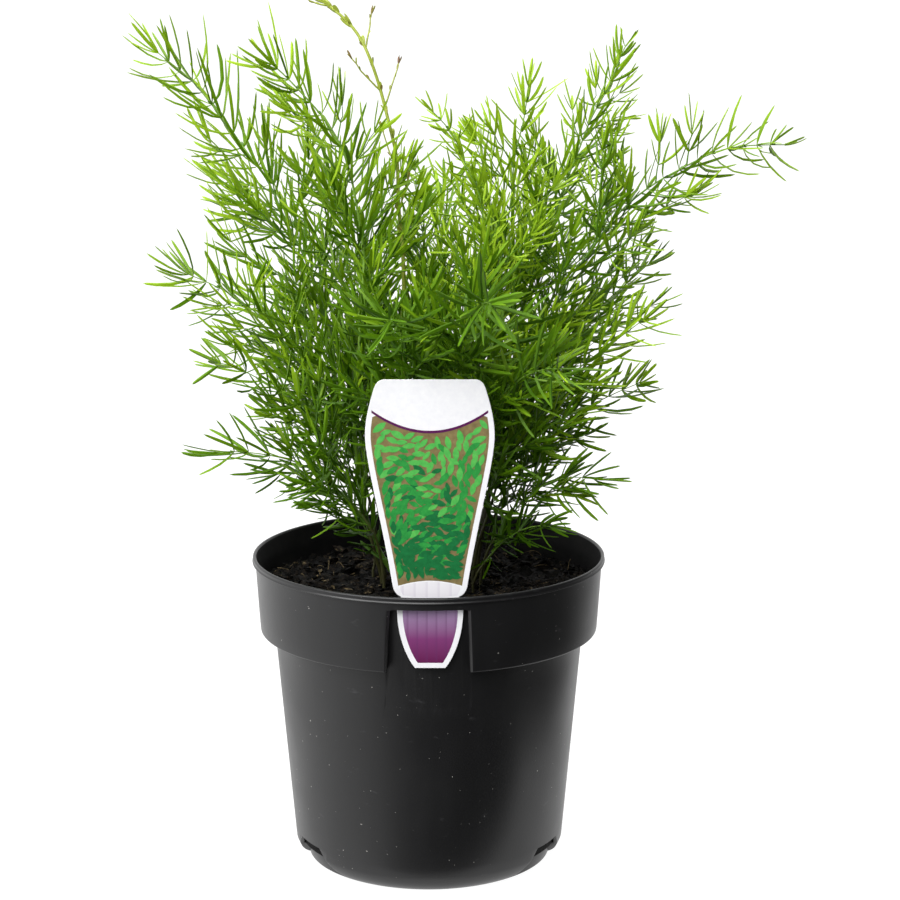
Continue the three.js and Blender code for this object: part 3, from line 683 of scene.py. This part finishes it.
def arc_points(centre, radius, start, end, steps):
    """Points of an arc in the profile's plane, by angles in degrees."""
    turn = np.radians(np.linspace(start, end, steps))
    return [(centre[0] + radius * math.cos(a), centre[1] + radius * math.sin(a)) for a in turn]


def shell_profile():
    """Outside from the base up, over the rolled lip and down the inside."""
    bottom, wall, edge = POT.collar_bottom, POT.wall, POT.collar_edge
    corner_top, ledge = POT.corner_top, bottom + wall
    sill_top = NOTCH.sill + NOTCH.shoulder
    return [
        (0, 0), (POT.base_ring, 0),
        *bezier([(POT.body_foot - POT.corner, 0), POT.corner_pull,
                 (body_radius(corner_top), corner_top)], 9),
        *((body_radius(z), z) for z in np.linspace(POT.body_straight, bottom - 0.4, 9)),
        (POT.body_top + POT.step, bottom),
        *arc_points((POT.collar_foot_radius - edge, bottom + edge), edge, -90, 0, 5),
        *((collar_outside(bottom + rise), bottom + rise) for rise in (6, 12, 18)),
        (POT.collar_top_radius, POT.collar_top), *LIP_OUTSIDE,
        *arc_points(LIP_BEAD.centre, LIP_BEAD.radius, -20, 140, 9), *LIP_INSIDE,
        *((collar_inside(z), z) for z in (118, 110)),
        *((collar_inside(ledge) + out, ledge + up) for out, up in LEDGE_OUTER),
        *((body_radius(ledge) - wall + out, ledge + up) for out, up in LEDGE_INNER),
        (body_radius(sill_top) - wall, sill_top), (NOTCH.sill_radius, NOTCH.sill),
        (POT.sill_foot, POT.floor), (0, POT.floor),
    ]


def band_core(name, radius_at):
    """A solid cone over the slot's band of heights."""
    low, high = SLOT.band
    return turned(name, [(0, low), (radius_at(low), low), (radius_at(high), high), (0, high)])


def slot_window():
    """What the slot cuts out of the collar, with a small lean at its sides as a mould needs."""
    left, right, edge = SLOT.left, SLOT.right, SLOT.head_edge
    low, high = SLOT.band[0], SLOT.top
    outline = [(left[1], low), (right[1], low), (right[0], high - edge), (right[0] - edge, high),
               (left[0] + edge, high), (left[0], high - edge)]
    window = prism("window", outline, lambda x, z, end: (x, SLOT.front[end], z))
    return combine(window, "DIFFERENCE", band_core("core", body_radius))


def slot_corner(side):
    """A wedge that takes the sharp front corner off one side of the slot, all the way up. side is -1 or 1."""
    foot, head = (SLOT.left if side < 0 else SLOT.right)[::-1]
    low, high, size = SLOT.band[0], SLOT.top, SLOT.rounding

    def place(x, y, end):
        z = SLOT.wedge[end]
        edge = foot + (head - foot) * (z - low) / (high - low)
        return edge + side * x, y - math.sqrt(collar_outside(z) ** 2 - edge ** 2), z

    wedge = prism("wedge", [(-size, 2 * size), (-size, -size), (2 * size, -size)], place)
    reworked(wedge, face_outwards)
    return wedge


def notch_cutter(azimuth):
    """One drainage notch in the corner, with the strip of base left standing in it."""
    below, foot, top = -1, NOTCH.half_foot, NOTCH.half_top
    outline = [(-foot, below), (foot, below), (top, NOTCH.height), (-top, NOTCH.height)]
    turn = Matrix.Rotation(math.radians(azimuth + 90), 3, "Z")
    inner = POT.sill_foot - NOTCH.height
    cutter = prism("notch", outline, lambda x, z, end: turn @ Vector((x, -inner - end * POT.body_foot, z)))
    face_foot, face_top = NOTCH.sill_face
    strip = turned("strip", [
        (0, below - 1), (face_foot - 0.3, below - 1), (face_foot, below), (face_top, NOTCH.sill),
        (0, NOTCH.sill)])
    return combine(cutter, "DIFFERENCE", strip)


def make_pocket():
    """The pocket behind the slot, cut to the collar and the body, which holds the foot of the label."""
    far, near = SLOT.front
    reach = SLOT.half + SLOT.cheek
    ends = POT.collar_bottom + POT.step, SLOT.pocket_top
    outline = [(-reach, far), (reach, far), (reach, near), (-reach, near)]
    pocket = prism("pocket", outline, lambda x, y, end: (x, y, ends[end]))
    reworked(pocket, face_outwards)
    combine(pocket, "INTERSECT", band_core("inside", lambda z: collar_outside(z) - POT.wall / 2))
    return combine(pocket, "DIFFERENCE", band_core("core", lambda z: body_radius(z) - POT.wall))


def within_pot(face):
    """Whether a face is part of the inside below the lip: it looks to the axis and lies near the wall."""
    x, y, z = face.center / MM
    radius = math.hypot(x, y)
    looks_in = face.normal.x * x + face.normal.y * y < -0.3 * radius
    return POT.floor < z < POT.seam and looks_in and radius < collar_inside(z) + POT.wall + 0.3


def make_pot():
    """The pot in one piece: turned shell and pocket joined, then the slot and the notches cut, and every
    edge softened as it is on a moulding."""
    shell = turned("nursery_pot", shell_profile(), 256)
    combine(shell, "UNION", make_pocket())
    corners = [slot_corner(side) for side in (-1, 1)]
    combine(shell, "DIFFERENCE", slot_window(), *corners, *[notch_cutter(a) for a in NOTCH.azimuths])
    reworked(shell, weld)
    mesh = shell.data
    mesh.materials.clear()
    for plastic in (POT_PLASTIC, POT_INSIDE):
        mesh.materials.append(plastic)
    inner = [within_pot(face) for face in mesh.polygons]
    mesh.polygons.foreach_set("material_index", np.array(inner, np.int32))
    soften = shell.modifiers.new("moulded_edges", "BEVEL")
    soften.width = POT.softened * MM
    soften.segments = 2
    soften.limit_method = "ANGLE"
    soften.angle_limit = math.radians(38)
    apply_modifiers(shell)
    smooth(shell.data, 32)
    settle(shell, "pot")


# ---------------------------------------------------------------- potting mix
POCKET_HALF = SLOT.half + SLOT.cheek + SOIL.gap
# Loose mix: the size of torn lumps, grit and fine crumbs, and how much each adds to the height.
CRUMB_SIZES = (7, 2.6, 1.1)
LUMP_RISE, GRIT_RISE, FINE_RISE = 3.0, 1.9, 0.8
LUMP_SIZES = ((1.8, 5.2), (1.1, 2.7), (0.5, 1.3))
CHIP_CORNERS = np.array([(i, j, k) for k in (-1, 1) for i, j in ((-1, -1), (1, -1), (1, 1), (-1, 1))], float)
CHIP_FACES = np.array([(3, 2, 1, 0), (4, 5, 6, 7), (0, 1, 5, 4), (1, 2, 6, 5), (2, 3, 7, 6), (3, 0, 4, 7)])


def soil_height(x, y):
    """The same low mounds and heap as the solid mix."""
    mounds = np.sin(x * 0.11 + 1.3) * np.cos(y * 0.09 - 0.4)
    chips = np.sin(x * 0.47 + y * 0.21) * np.sin(y * 0.53 - x * 0.17 + 2)
    heap = np.exp(-(x * x + y * y) / SOIL.spread)
    return SOIL.top + SOIL.relief * (mounds + chips) / 2 + SOIL.crown * heap


def crumbs(x, y, cell, seed):
    """Smooth random heights from 0 to 1, with lumps of a cell's size. The table repeats after 64 cells, and
    it is shifted so that the pot's axis isn't on a corner of it."""
    table = np.random.default_rng(seed).random((64, 64))
    u, v = x / cell + 200.37, y / cell + 200.61
    i, j = np.floor(u).astype(int), np.floor(v).astype(int)
    a, b = (t * t * (3 - 2 * t) for t in (u - i, v - j))

    def row(up):
        near, far = (table[(i + over) % 64, (j + up) % 64] for over in (0, 1))
        return near * (1 - a) + far * a

    return row(0) * (1 - b) + row(1) * b


def mix_surface(x, y, seeds):
    """Height of the loose mix over the low mounds."""
    lumps, grit, fine = (crumbs(x, y, cell, seed) for cell, seed in zip(CRUMB_SIZES, seeds))
    folded = np.abs(lumps - 0.5) * 2
    return (soil_height(x, y) + LUMP_RISE * (0.5 - folded)
            + GRIT_RISE * (grit - 0.5) + FINE_RISE * (fine - 0.5))


def mix_body(stock, edge, seeds, rings=96, sectors=300):
    """The body of the mix, which fills the pot and the step of its collar, with a crumbled top."""
    gap, back = SOIL.gap, SOIL.behind_pocket
    away = POT.wall + gap
    ledge = POT.collar_bottom + away
    sill_top = NOTCH.sill + NOTCH.shoulder
    outside = [
        (POT.sill_foot - gap, POT.floor + gap), (NOTCH.sill_radius - gap, NOTCH.sill + gap),
        (body_radius(sill_top) - away, sill_top + gap), (body_radius(ledge) - away, ledge),
        (collar_inside(ledge) - gap, ledge), (edge, SOIL.top - SOIL.skirt)]
    turn = all_round(sectors)
    lower = [np.stack([r * np.cos(turn), r * np.sin(turn), np.full(sectors, z)], axis=1) for r, z in outside]
    radii = edge * np.linspace(1, 0.004, rings)[:, None]
    x, y = radii * np.cos(turn), radii * np.sin(turn)
    points = np.concatenate([lower, np.stack([x, y, mix_surface(x, y, seeds)], axis=2)])
    x, y, z = np.moveaxis(points, 2, 0)
    y[(np.abs(x) < POCKET_HALF) & (y < -back) & (z > POT.collar_bottom)] = -back
    # The tone rises with height, so the hollows of the mix are darker and its tops lighter: painted shade in
    # the hollows and painted light on the tops.
    tone = np.clip((z.ravel() - SOIL.top) * 0.08, -0.2, 0.14)
    stock.add(points, closed_stack(sectors, len(points)), 0, tone)


def scattered(draw, reach):
    """A random place on the mix, evenly spread within a reach of the middle."""
    radius = reach * math.sqrt(draw.random())
    way = draw.random() * 2 * math.pi
    return radius * math.cos(way), radius * math.sin(way)


def by_pocket(x, y, kind):
    """Whether a place is too close to the pocket behind the slot for a kind of loose part."""
    front, beside = POCKET_ROOM[kind]
    return y < -front and abs(x) < POCKET_HALF + beside


def tumbled(draw, axes, lean):
    """A random turn to any side with small random leans about other axes, for points in rows."""
    turn = Matrix.Rotation(draw.uniform(0, AROUND), 3, "Z")
    for axis in axes:
        turn = turn @ Matrix.Rotation(draw.normal(0, lean), 3, axis)
    return np.array(turn).T


def bark_chip(stock, draw, x, y, seeds):
    """One angular chip of bark, half in the crumbs. The odd one is pale."""
    size = np.array([draw.gamma(3, 0.62) + 0.7, draw.gamma(3, 0.3) + 0.4, draw.uniform(0.25, 0.7)])
    chip = CHIP_CORNERS * size * 0.5 * draw.uniform(0.55, 1.15, (8, 3))
    turn = tumbled(draw, "YX", 0.4)
    height = mix_surface(np.array([x]), np.array([y]), seeds)[0]
    pale = 0.4 if draw.random() < 0.04 else draw.normal(0.08, 0.14)
    stock.add(chip @ turn + np.array([x, y, height + size[2] * 0.4]), [CHIP_FACES], 0, pale)


def bark_lump(stock, draw, centre, rings=7, sectors=14):
    """One torn lump: a flattened ball with a ragged skin, made from its top ring down."""
    size = [draw.uniform(*span) for span in LUMP_SIZES]
    fall = np.linspace(0, math.pi, rings + 2)[1:-1, None]
    turn = all_round(sectors)[None]
    ball = np.stack(np.broadcast_arrays(
        np.sin(fall) * np.cos(turn), np.sin(fall) * np.sin(turn), np.cos(fall)), axis=2)
    rough = 1 + draw.normal(0, 0.2, ball.shape[:2])
    ball = (ball * rough[..., None]).reshape(-1, 3)
    points = np.concatenate([ball, [(0, 0, 1), (0, 0, -1)]]) * size
    spin = tumbled(draw, "Y", 0.35)
    here, after = ring(sectors)
    top, low = len(ball), len(ball) - sectors
    fans = np.concatenate([faces_of(top, here, after), faces_of(top + 1, after + low, here + low)])
    tone = draw.uniform(-0.05, 0.3) + draw.normal(0, 0.06, len(points))
    stock.add(points @ spin + centre, [walls(sectors, rings)[:, [0, 3, 2, 1]], fans], 0, tone)


def fibre(stock, draw, start, edge):
    """One root or bark fibre, bowed over the crumbs, where it stays inside the collar."""
    reach = draw.normal(0, 5, 3) * (1, 1, 0.25)
    bow = start + reach * 0.5 + draw.normal(0, 1.5, 3) + (0, 0, 1.5)
    line = bezier([start, bow, start + reach], 6)
    if np.hypot(line[:, 0], line[:, 1]).max() < edge - 1:
        tube(stock, line, draw.uniform(0.09, 0.2), 4, 0, draw.uniform(0.15, 0.5))


def make_soil():
    """The mix in one piece: its body, with chips, lumps and fibres strewn over it and one upright fibre."""
    draw = np.random.default_rng(31)
    seeds = draw.integers(0, 9999, 3)
    edge = collar_inside(SOIL.top) - SOIL.gap
    stock = Stock()
    mix_body(stock, edge, seeds)
    for _ in range(SOIL.chips):
        x, y = scattered(draw, edge - 1.5)
        if not by_pocket(x, y, "chip"):
            bark_chip(stock, draw, x, y, seeds)
    for _ in range(SOIL.lumps):
        x, y = scattered(draw, edge - 6)
        if not by_pocket(x, y, "lump"):
            bark_lump(stock, draw, np.array([x, y, soil_height(x, y) + draw.uniform(0.1, 1.7)]))
    tube(stock, bezier(UPRIGHT_FIBRE, 7), np.linspace(0.26, 0.14, 7), 5, 0, 0.42)
    for _ in range(SOIL.fibres):
        way, radius = draw.random() * AROUND, 64 * math.sqrt(draw.random())
        x, y = radius * math.cos(way), radius * math.sin(way)
        start = np.array([x, y, SOIL.top + draw.uniform(0, 1.5)])
        if not by_pocket(x, y, "fibre"):
            fibre(stock, draw, start, edge)
    settle(new_piece("potting_mix", stock, [POTTING_MIX], crease=35), "soil")


# ---------------------------------------------------------------- label
def label_half(steps=12):
    """The right half of the card's outline, from the tip upwards, as half width and height."""
    points = [np.array([[LABEL.half_tip, 0.0]])]
    for curve in LABEL_CURVES:
        points.append(bezier([points[-1][-1], *curve], steps)[1:])
    return np.concatenate(points) + (0, LABEL.bottom)


def mirrored(half):
    """A closed outline from its right half, which runs upwards."""
    return np.concatenate([half, half[::-1] * (-1, 1)])


def inset(half, by):
    """The right half of an outline moved inwards."""
    way = unit(np.gradient(half, axis=0))
    return half + np.stack([-way[:, 1], way[:, 0]], axis=1) * by


def ink(stock, outline, finish, level=1, thick=0.02):
    """One printed area, a film of ink on the card's face. Higher levels lie over lower ones."""
    front = -LABEL.front - level * LABEL.film_apart
    corners = [(x + LABEL.aside, front + end * thick, z) for end in (1, 0) for x, z in outline]
    stock.add(corners, closed_stack(len(outline), 2), finish)


def arc_at(arc, x):
    """Height of an arc across the label."""
    middle, rise, half = arc
    return middle + (x / half) ** 2 * rise


def along_arc(arc, start, end, steps, up=0.0):
    """Points along an arc across the label, or at a height over it."""
    return [(x, arc_at(arc, x) + up) for x in np.linspace(start, end, steps)]


def print_leaves(stock, heights, widths):
    """Generic leaves scattered over the picture field: close and deep green low down, sparse and pale high
    up. Each is printed on a level that none of the leaves near it has."""
    draw = np.random.default_rng(5)
    edge = [(t, LEAF.half * max(math.cos(math.pi * t), 0) ** LEAF.full) for t in np.linspace(-0.5, 0.5, 8)]
    shape = np.array([*edge[::-1], *[(t, -w) for t, w in edge[1:-1]]])
    low, high = LABEL.field
    printed = []
    for _ in range(LEAF.tries):
        h = draw.uniform(low, high)
        wide = float(np.interp(h, heights, widths))
        w = draw.uniform(-wide, wide)
        rise = (h - low) / (high - low)
        apart = LEAF.apart + LEAF.sparser * rise ** 1.5
        size = draw.uniform(*LEAF.size)
        turn = math.radians(50 + 55 * math.sin(w * 0.16 + h * 0.07) + draw.normal(0, 25))
        spin = np.array([[math.cos(turn), -math.sin(turn)], [math.sin(turn), math.cos(turn)]])
        leaf = shape @ spin.T * size + (w, h)
        x, z = leaf.T
        off = ((np.abs(x) > np.interp(z, heights, widths) - 0.4) | (z < arc_at(FOOT_ARC, x) + 0.5)
               | (z > arc_at(HEAD_ARC, x) - 0.8))
        gaps = [((w - a) ** 2 + (h - b) ** 2, level) for a, b, level in printed]
        if off.any() or any(gap < apart ** 2 for gap, _ in gaps):
            continue
        taken = {level for gap, level in gaps if gap < LEAF.near ** 2}
        level = next(n for n in range(200) if n not in taken)
        shade = float(np.clip(rise * 0.95 + draw.normal(0.02, 0.2), 0, 0.99))
        ink(stock, leaf, GREENS + int(shade * 3), 2 + level * 0.4, 0.008)
        printed.append((w, h, level))


def make_label():
    """The card with its edges rounded, and its print: an olive field with leaves under a plain white head
    with a plum line, a lilac strip below the field, and a purple tongue."""
    stock = Stock()
    half = label_half()
    back, face, edge = LABEL.thickness - LABEL.front, -LABEL.front, LABEL.edge
    outline, rim = mirrored(half), mirrored(inset(half, edge))
    layers = [(rim, back), (outline, back - edge), (outline, face + edge), (rim, face)]
    points = [(x + LABEL.aside, y, z) for shape, y in layers for x, z in shape]
    stock.add(points, closed_stack(len(outline), len(layers)), CARD)

    inner = inset(half, LABEL.border)
    low, high = LABEL.field_side
    side = inner[(inner[:, 1] > low) & (inner[:, 1] < high)]
    heights = np.linspace(arc_at(FOOT_ARC, 12), arc_at(HEAD_ARC, 21.4), 40)
    widths = np.interp(heights, side[:, 1], side[:, 0])
    right = [(w, h) for w, h in zip(widths, heights) if arc_at(FOOT_ARC, w) < h < arc_at(HEAD_ARC, w)]
    foot_half, head_half = right[0][0], right[-1][0]
    ink(stock, [*right, *along_arc(HEAD_ARC, head_half, -head_half, 25)[1:-1],
                *[(-w, h) for w, h in right[::-1]],
                *along_arc(FOOT_ARC, -foot_half, foot_half, 17)[1:-1]], OLIVE)
    reach = head_half + 0.3
    ink(stock, [*along_arc(HEAD_ARC, reach, -reach, 27, -0.5)[::-1],
                *along_arc(HEAD_ARC, reach, -reach, 27, 0.5)], PLUM, 3)
    print_leaves(stock, heights, widths)
    ink(stock, [*LILAC_FOOT, *along_arc(FOOT_ARC, 11.3, -11.3, 15, -0.45), (-11.6, 129.2)], LILAC)
    tip = LABEL.bottom + LABEL.border
    tongue = inner[(inner[:, 1] > tip) & (inner[:, 1] < LABEL.tongue_top)]
    start = np.interp(tip, inner[:20, 1], inner[:20, 0])
    ink(stock, mirrored(np.concatenate([[(start, tip)], tongue])), PURPLE)
    settle(new_piece("plant_label", stock, LABEL_INKS, crease=30), "label")


# ---------------------------------------------------------------- foliage
def in_the_open(spine):
    """Whether each line keeps clear of the label, the rim, the outside of the pot and the mix."""
    x, y, z = np.moveaxis(spine, -1, 0)
    radius = np.hypot(x, y)
    on_label = ((np.abs(x - LABEL.aside) < LABEL.half + CLEAR.label_side)
                & (y < -LABEL.front + CLEAR.label_behind) & (z < CLEAR.label_top))
    rim_in, rim_out = CLEAR.rim
    on_rim = (radius > rim_in) & (radius < rim_out) & (z < POT.height + CLEAR.rim_top)
    outside = (radius >= rim_out) & (z < POT.height + CLEAR.outside)
    return ~np.any(on_label | on_rim | outside | (z < SOIL.top + CLEAR.mix), axis=1)


def stem_line(curve, draw, steps=64):
    """The line of a stem, from its foot in the mix, with the slight zigzag that it has between nodes."""
    foot, *rest = curve
    green = bezier([(*foot, STEM.peg), *rest], steps)
    place, heading, length = follow(green, np.linspace(0, 1, steps))
    across = across_of(green)
    wave, sway = (
        size * np.sin(np.linspace(0, length / pitch * math.pi, steps) + draw.uniform(0, 6))
        for size, pitch in ZIGZAG)
    fade = np.clip(np.linspace(0, 8, steps), 0, 1)[:, None]
    shifted = place + (across[None] * wave[:, None] + np.cross(heading, across) * sway[:, None]) * fade
    return np.concatenate([[(*foot, STEM.buried)], shifted]), length


def branch_way(heading, across, azimuth, angle):
    """The direction of a branch that leaves its stem at an angle."""
    return heading * math.cos(angle) + outward(heading, across, np.array([azimuth])) * math.sin(angle)


def tufts(stock, draw, line, shares, across, count, angle, length, width, tone, lift=1.0, curl=(0.3, 1.05),
          keep=in_the_open, finish=0):
    """Tufts of needles at shares of a stalk's line. Each needle leaves the stalk at an angle, wider on the
    side that faces down, and bends forwards and up as it grows. count is the least and most in a tuft, and
    angle is its mean and spread."""
    if not len(shares):
        return
    place, heading, _ = follow(line, shares)
    number = draw.integers(count[0], count[1] + 1, len(shares))
    which = np.repeat(np.arange(len(shares)), number)
    total = len(which)
    order = np.concatenate([np.arange(n) for n in number])
    azimuth = draw.uniform(0, 360, len(shares))[which] + order * 360 / number[which]
    azimuth = azimuth + draw.normal(0, STRAY.azimuth, total)
    axis = heading[which]
    out = outward(axis, across, azimuth)
    lean = np.radians(np.clip(draw.normal(*angle, total) - 3 * out[:, 2], 8, 88))[:, None]
    way = unit(axis * np.cos(lean) + out * np.sin(lean))
    forward = draw.uniform(*curl, total)[:, None]
    rise = draw.uniform(0.0, UPSWEEP * lift, total)[:, None]
    bend = axis * forward + UP * rise + draw.normal(0, STRAY.bend, (total, 3))
    length, tone = (np.broadcast_to(value, len(shares))[which] for value in (length, tone))
    size = length * np.clip(draw.normal(1, STRAY.size, total), 0.55, 1.4)
    size = size / np.linalg.norm(way + bend / 2, axis=1)
    broad = width * np.clip(draw.normal(1, STRAY.size, total), 0.5, 1.4)
    shade = np.clip(tone + draw.normal(0, STRAY.tone, total), 0.02, 0.8)
    twist = draw.normal(0, STRAY.twist, total)
    blades(stock, (place[which], way, bend, size, broad, unit(axis + UP * 0.35), twist, shade), finish, keep)


def side_sprays(stem, draw, length, reach):
    """Share of the stem, azimuth, length and added tone of each side spray. They stand at every node, turned
    on from one to the next as on most plants, and are longest part of the way up."""
    longest = GROWTH.longest_at
    nodes = np.arange(GROWTH.first_node, GROWTH.last_spray, GROWTH.node_gap / length)
    size = GROWTH.spray_length * math.sqrt(reach)
    sprays = [(t, n * GROWTH.golden + draw.normal(0, 7),
               size * stem.spray * draw.uniform(0.85, 1.08)
               * math.cos(math.pi / 2 * (t - longest) / longest), 0.0)
              for n, t in enumerate(nodes)]
    return sprays + [(*late, 0.1) for late in stem.late]


def make_frond(name, seed, habit):
    """One leafy stem in one piece: a zigzag stalk with side sprays, tufts of needles on all of them that grow
    denser to the tip, hanging needles near the foot, and a dry scale under each tuft of the stem."""
    draw = np.random.default_rng(seed)
    stem = Sizes(**{**PLAIN, **habit})
    stock = Stock()
    line, length = stem_line(stem.curve, draw)
    share = np.linspace(0, 1, len(line))
    reach = min(length / GROWTH.full_stem, 1.0)
    thick = (1.05 - 0.83 * share ** 0.62) * (0.5 + 0.5 * reach) * stem.stalk
    tube(stock, line, thick, 7, 1, np.clip(0.9 * share + stem.pale, 0, 0.85))
    across = across_of(line)
    green = line[1:]
    dress = partial(tufts, stock, draw, across=across, lift=stem.lift, curl=stem.curl)

    # Tones rise up the stem here and below: needles low down and those hanging near the foot are darker,
    # partly as older growth and partly as painted shade inside the crown.
    for t, azimuth, size, young in side_sprays(stem, draw, length, reach):
        place, heading, _ = follow(green, [t])
        way = branch_way(heading, across, azimuth, math.radians(GROWTH.spray_angle + draw.normal(0, 5)))
        s = np.linspace(0, 1, 9)[:, None]
        spray = place + way * size * s + UP * GROWTH.lift * size * s * s + draw.normal(0, 0.35, (9, 3)) * s
        if not in_the_open(spray[None])[0]:
            continue
        tube(stock, spray, np.linspace(0.36, 0.15, 9), 4, 1, 0.5 + 0.25 * t)
        run = size / GROWTH.run
        stops = (np.arange(1, int(run) + 1) - 0.25 + draw.uniform(-0.2, 0.2, int(run))) / run
        stops = stops[stops < 0.93]
        dress(spray, stops, count=(3, 5), angle=(54, 13), length=stem.needle * 0.8 * (1 - 0.25 * stops ** 2),
              width=stem.width * 0.94,
              tone=stem.tone + young - 0.24 + 0.42 * t + 0.18 * stops + draw.normal(0, 0.05, len(stops)))
        dress(spray, [1.0], count=(4, 6), angle=(31, 11), length=stem.needle * 0.66, width=stem.width * 0.88,
              tone=stem.tone + young - 0.04 + 0.35 * t)

    gap, last = GROWTH.node_gap / length, GROWTH.last_spray
    lower = np.arange(stem.lowest, last, gap)
    dress(green, lower, count=(2, 4), angle=(60, 13), length=stem.needle * 0.85, width=stem.width,
          tone=stem.tone - 0.2 + 0.35 * lower)
    dress(green, np.arange(stem.skirt, GROWTH.first_node - 0.03, gap * 0.9), count=(2, 3), angle=(78, 16),
          length=stem.needle * 0.7, width=stem.width, tone=stem.tone - 0.26, lift=0.1, curl=(-0.1, 0.5))
    upper = [last]
    while upper[-1] < 0.985:
        left = (1 - upper[-1]) / (1 - last)
        upper.append(upper[-1] + (4.6 + 4.4 * left) * draw.uniform(0.85, 1.15) / length)
    upper = np.array(upper[:-1])
    left = (1 - upper) / (1 - last)
    dress(green, upper, count=(4, 6), angle=(stem.angle, 12),
          length=stem.needle * (stem.tip + (1.06 - stem.tip) * np.clip(left * 2.0, 0, 1)), width=stem.width,
          tone=stem.tone + 0.06 + stem.fresh * (1 - left))
    dress(green, [0.995], count=(3, 5), angle=(34, 14), length=stem.needle * stem.end,
          width=stem.width * 0.88, tone=stem.tone + 0.06 + stem.fresh)

    scales = np.concatenate([lower, upper, np.arange(0.08, GROWTH.first_node, gap * 2)])
    tufts(stock, draw, green, scales, across, (1, 2), (24, 6), 2.2, 0.8, 0.12 + 0.55 * scales,
          keep=None, finish=1)
    frond = new_piece(name.replace("stem_", "frond_"), stock, [NEEDLE, STALK], crease=60)
    settle(frond, name)


def make_shoot():
    """The bare new shoot: a jointed green stalk with scales at its nodes, a few twigs and a budding end."""
    draw = np.random.default_rng(77)
    stock = Stock()
    line, length = stem_line(SHOOT, draw, 80)
    share = np.linspace(0, 1, len(line))
    tube(stock, line, 1.05 - 0.5 * share, 8, 0, np.clip(0.35 + 0.4 * share, 0, 0.75))
    across = across_of(line)
    green = line[1:]

    def scales(rod, shares, *habit):
        tufts(stock, draw, rod, shares, across, *habit, keep=None)

    nodes = np.arange(0.18, 0.985, 9.5 / length)
    scales(green, nodes, (1, 2), (20, 5), 4.2, 1.7, 0.5)
    scales(green, nodes, (1, 2), (38, 9), 2.6, 1.2, 0.18)
    for at, size, azimuth in TWIGS:
        place, heading, _ = follow(green, [at])
        way = branch_way(heading, across, azimuth, TWIG_ANGLE)
        s = np.linspace(0, 1, 7)[:, None]
        twig = place + way * size * 1.15 * s + UP * 0.22 * size * s * s + draw.normal(0, 0.2, (7, 3)) * s
        tube(stock, twig, np.linspace(0.42, 0.26, 7), 5, 0, np.linspace(0.55, 0.25, 7))
        scales(twig, [0.35, 0.62, 0.8], (1, 1), (30, 6), 2.2, 0.7, 0.3)
        scales(twig, [0.93], (4, 5), (14, 5), 3.6, 0.95, 0.14)
    scales(green, [0.9, 0.93, 0.955, 0.975, 0.99], (3, 4), (24, 7), 5.0, 1.6, 0.55)
    scales(green, [1.0], (5, 6), (13, 4), 6.5, 1.3, 0.42)
    settle(new_piece("bare_new_shoot", stock, [SHOOT_SKIN], crease=60), "new_shoot")


# ---------------------------------------------------------------- studio
# In metres, but for the table's corners. The table reaches far back and to the left, and ends close in front
# of the pot and on its right.
TABLE = ((-30000, -64, 0), (158, -64, 0), (6300, 30000, 0), (-30000, 30000, 0))
CAMERA = Sizes(place=(0.0087, -0.9828, 0.3774), tilt=78.064, lens=99.12, sensor=36, clip=(0.05, 200))
LAMPS = (
    ("softbox_left", (-1.1, -0.7, 1.25), 17), ("softbox_front", (-0.2, -1.2, 1.0), 19),
    ("softbox_overhead", (0.1, 0.2, 1.5), 14))
LAMP_AIM, LAMP_SIZE = (0, 0, 0.2), 0.9
UNLIT_SIDE = (0.75, -0.66, 0.0)


def make_camera():
    lens = bpy.data.cameras.new("view")
    lens.sensor_width = CAMERA.sensor
    lens.lens = CAMERA.lens
    lens.clip_start, lens.clip_end = CAMERA.clip
    eye = placed(bpy.data.objects.new("view", lens))
    eye.location = CAMERA.place
    eye.rotation_euler = (math.radians(CAMERA.tilt), 0, 0)
    bpy.context.scene.camera = eye


def make_floor():
    stock = Stock()
    stock.add(TABLE, [[(0, 1, 2, 3)]])
    table = new_piece("light_table", stock, [light_table()])


def make_light(name, place, power):
    """A round softbox aimed at the plant."""
    lamp = bpy.data.lights.new(name, "AREA")
    lamp.shape = "DISK"
    lamp.size = LAMP_SIZE
    lamp.energy = power
    stand = placed(bpy.data.objects.new(name, lamp))
    stand.location = place
    stand.rotation_euler = (Vector(LAMP_AIM) - Vector(place)).to_track_quat("-Z", "Y").to_euler()


def make_studio():
    """White walls at the back and on the left, and an unlit room at the front right."""
    world = bpy.data.worlds.new("studio_room")
    world.use_nodes = True
    tree = world.node_tree
    towards = add(tree, "TexCoord").outputs["Generated"]
    unlit = add(tree, "VectorMath", {0: towards, 1: UNLIT_SIDE}, operation="DOT_PRODUCT")
    level = add(tree, "MapRange", {
        "Value": unlit.outputs["Value"], "From Min": -0.3, "From Max": 0.55, "To Min": 1.1, "To Max": 0.08,
    }, interpolation_type="SMOOTHSTEP")
    room = tree.nodes["Background"]
    tree.links.new(level.outputs["Result"], room.inputs["Strength"])
    room.inputs["Color"].default_value = linear("#ffffff")
    bpy.context.scene.world = world
    bpy.context.scene.view_settings.view_transform = "Standard"
    for lamp in LAMPS:
        make_light(*lamp)


make_camera()
make_floor()
make_studio()
make_pot()
make_soil()
make_label()
for number, (name, habit) in enumerate(STEMS.items()):
    make_frond(name, 100 + number, habit)
make_shoot()
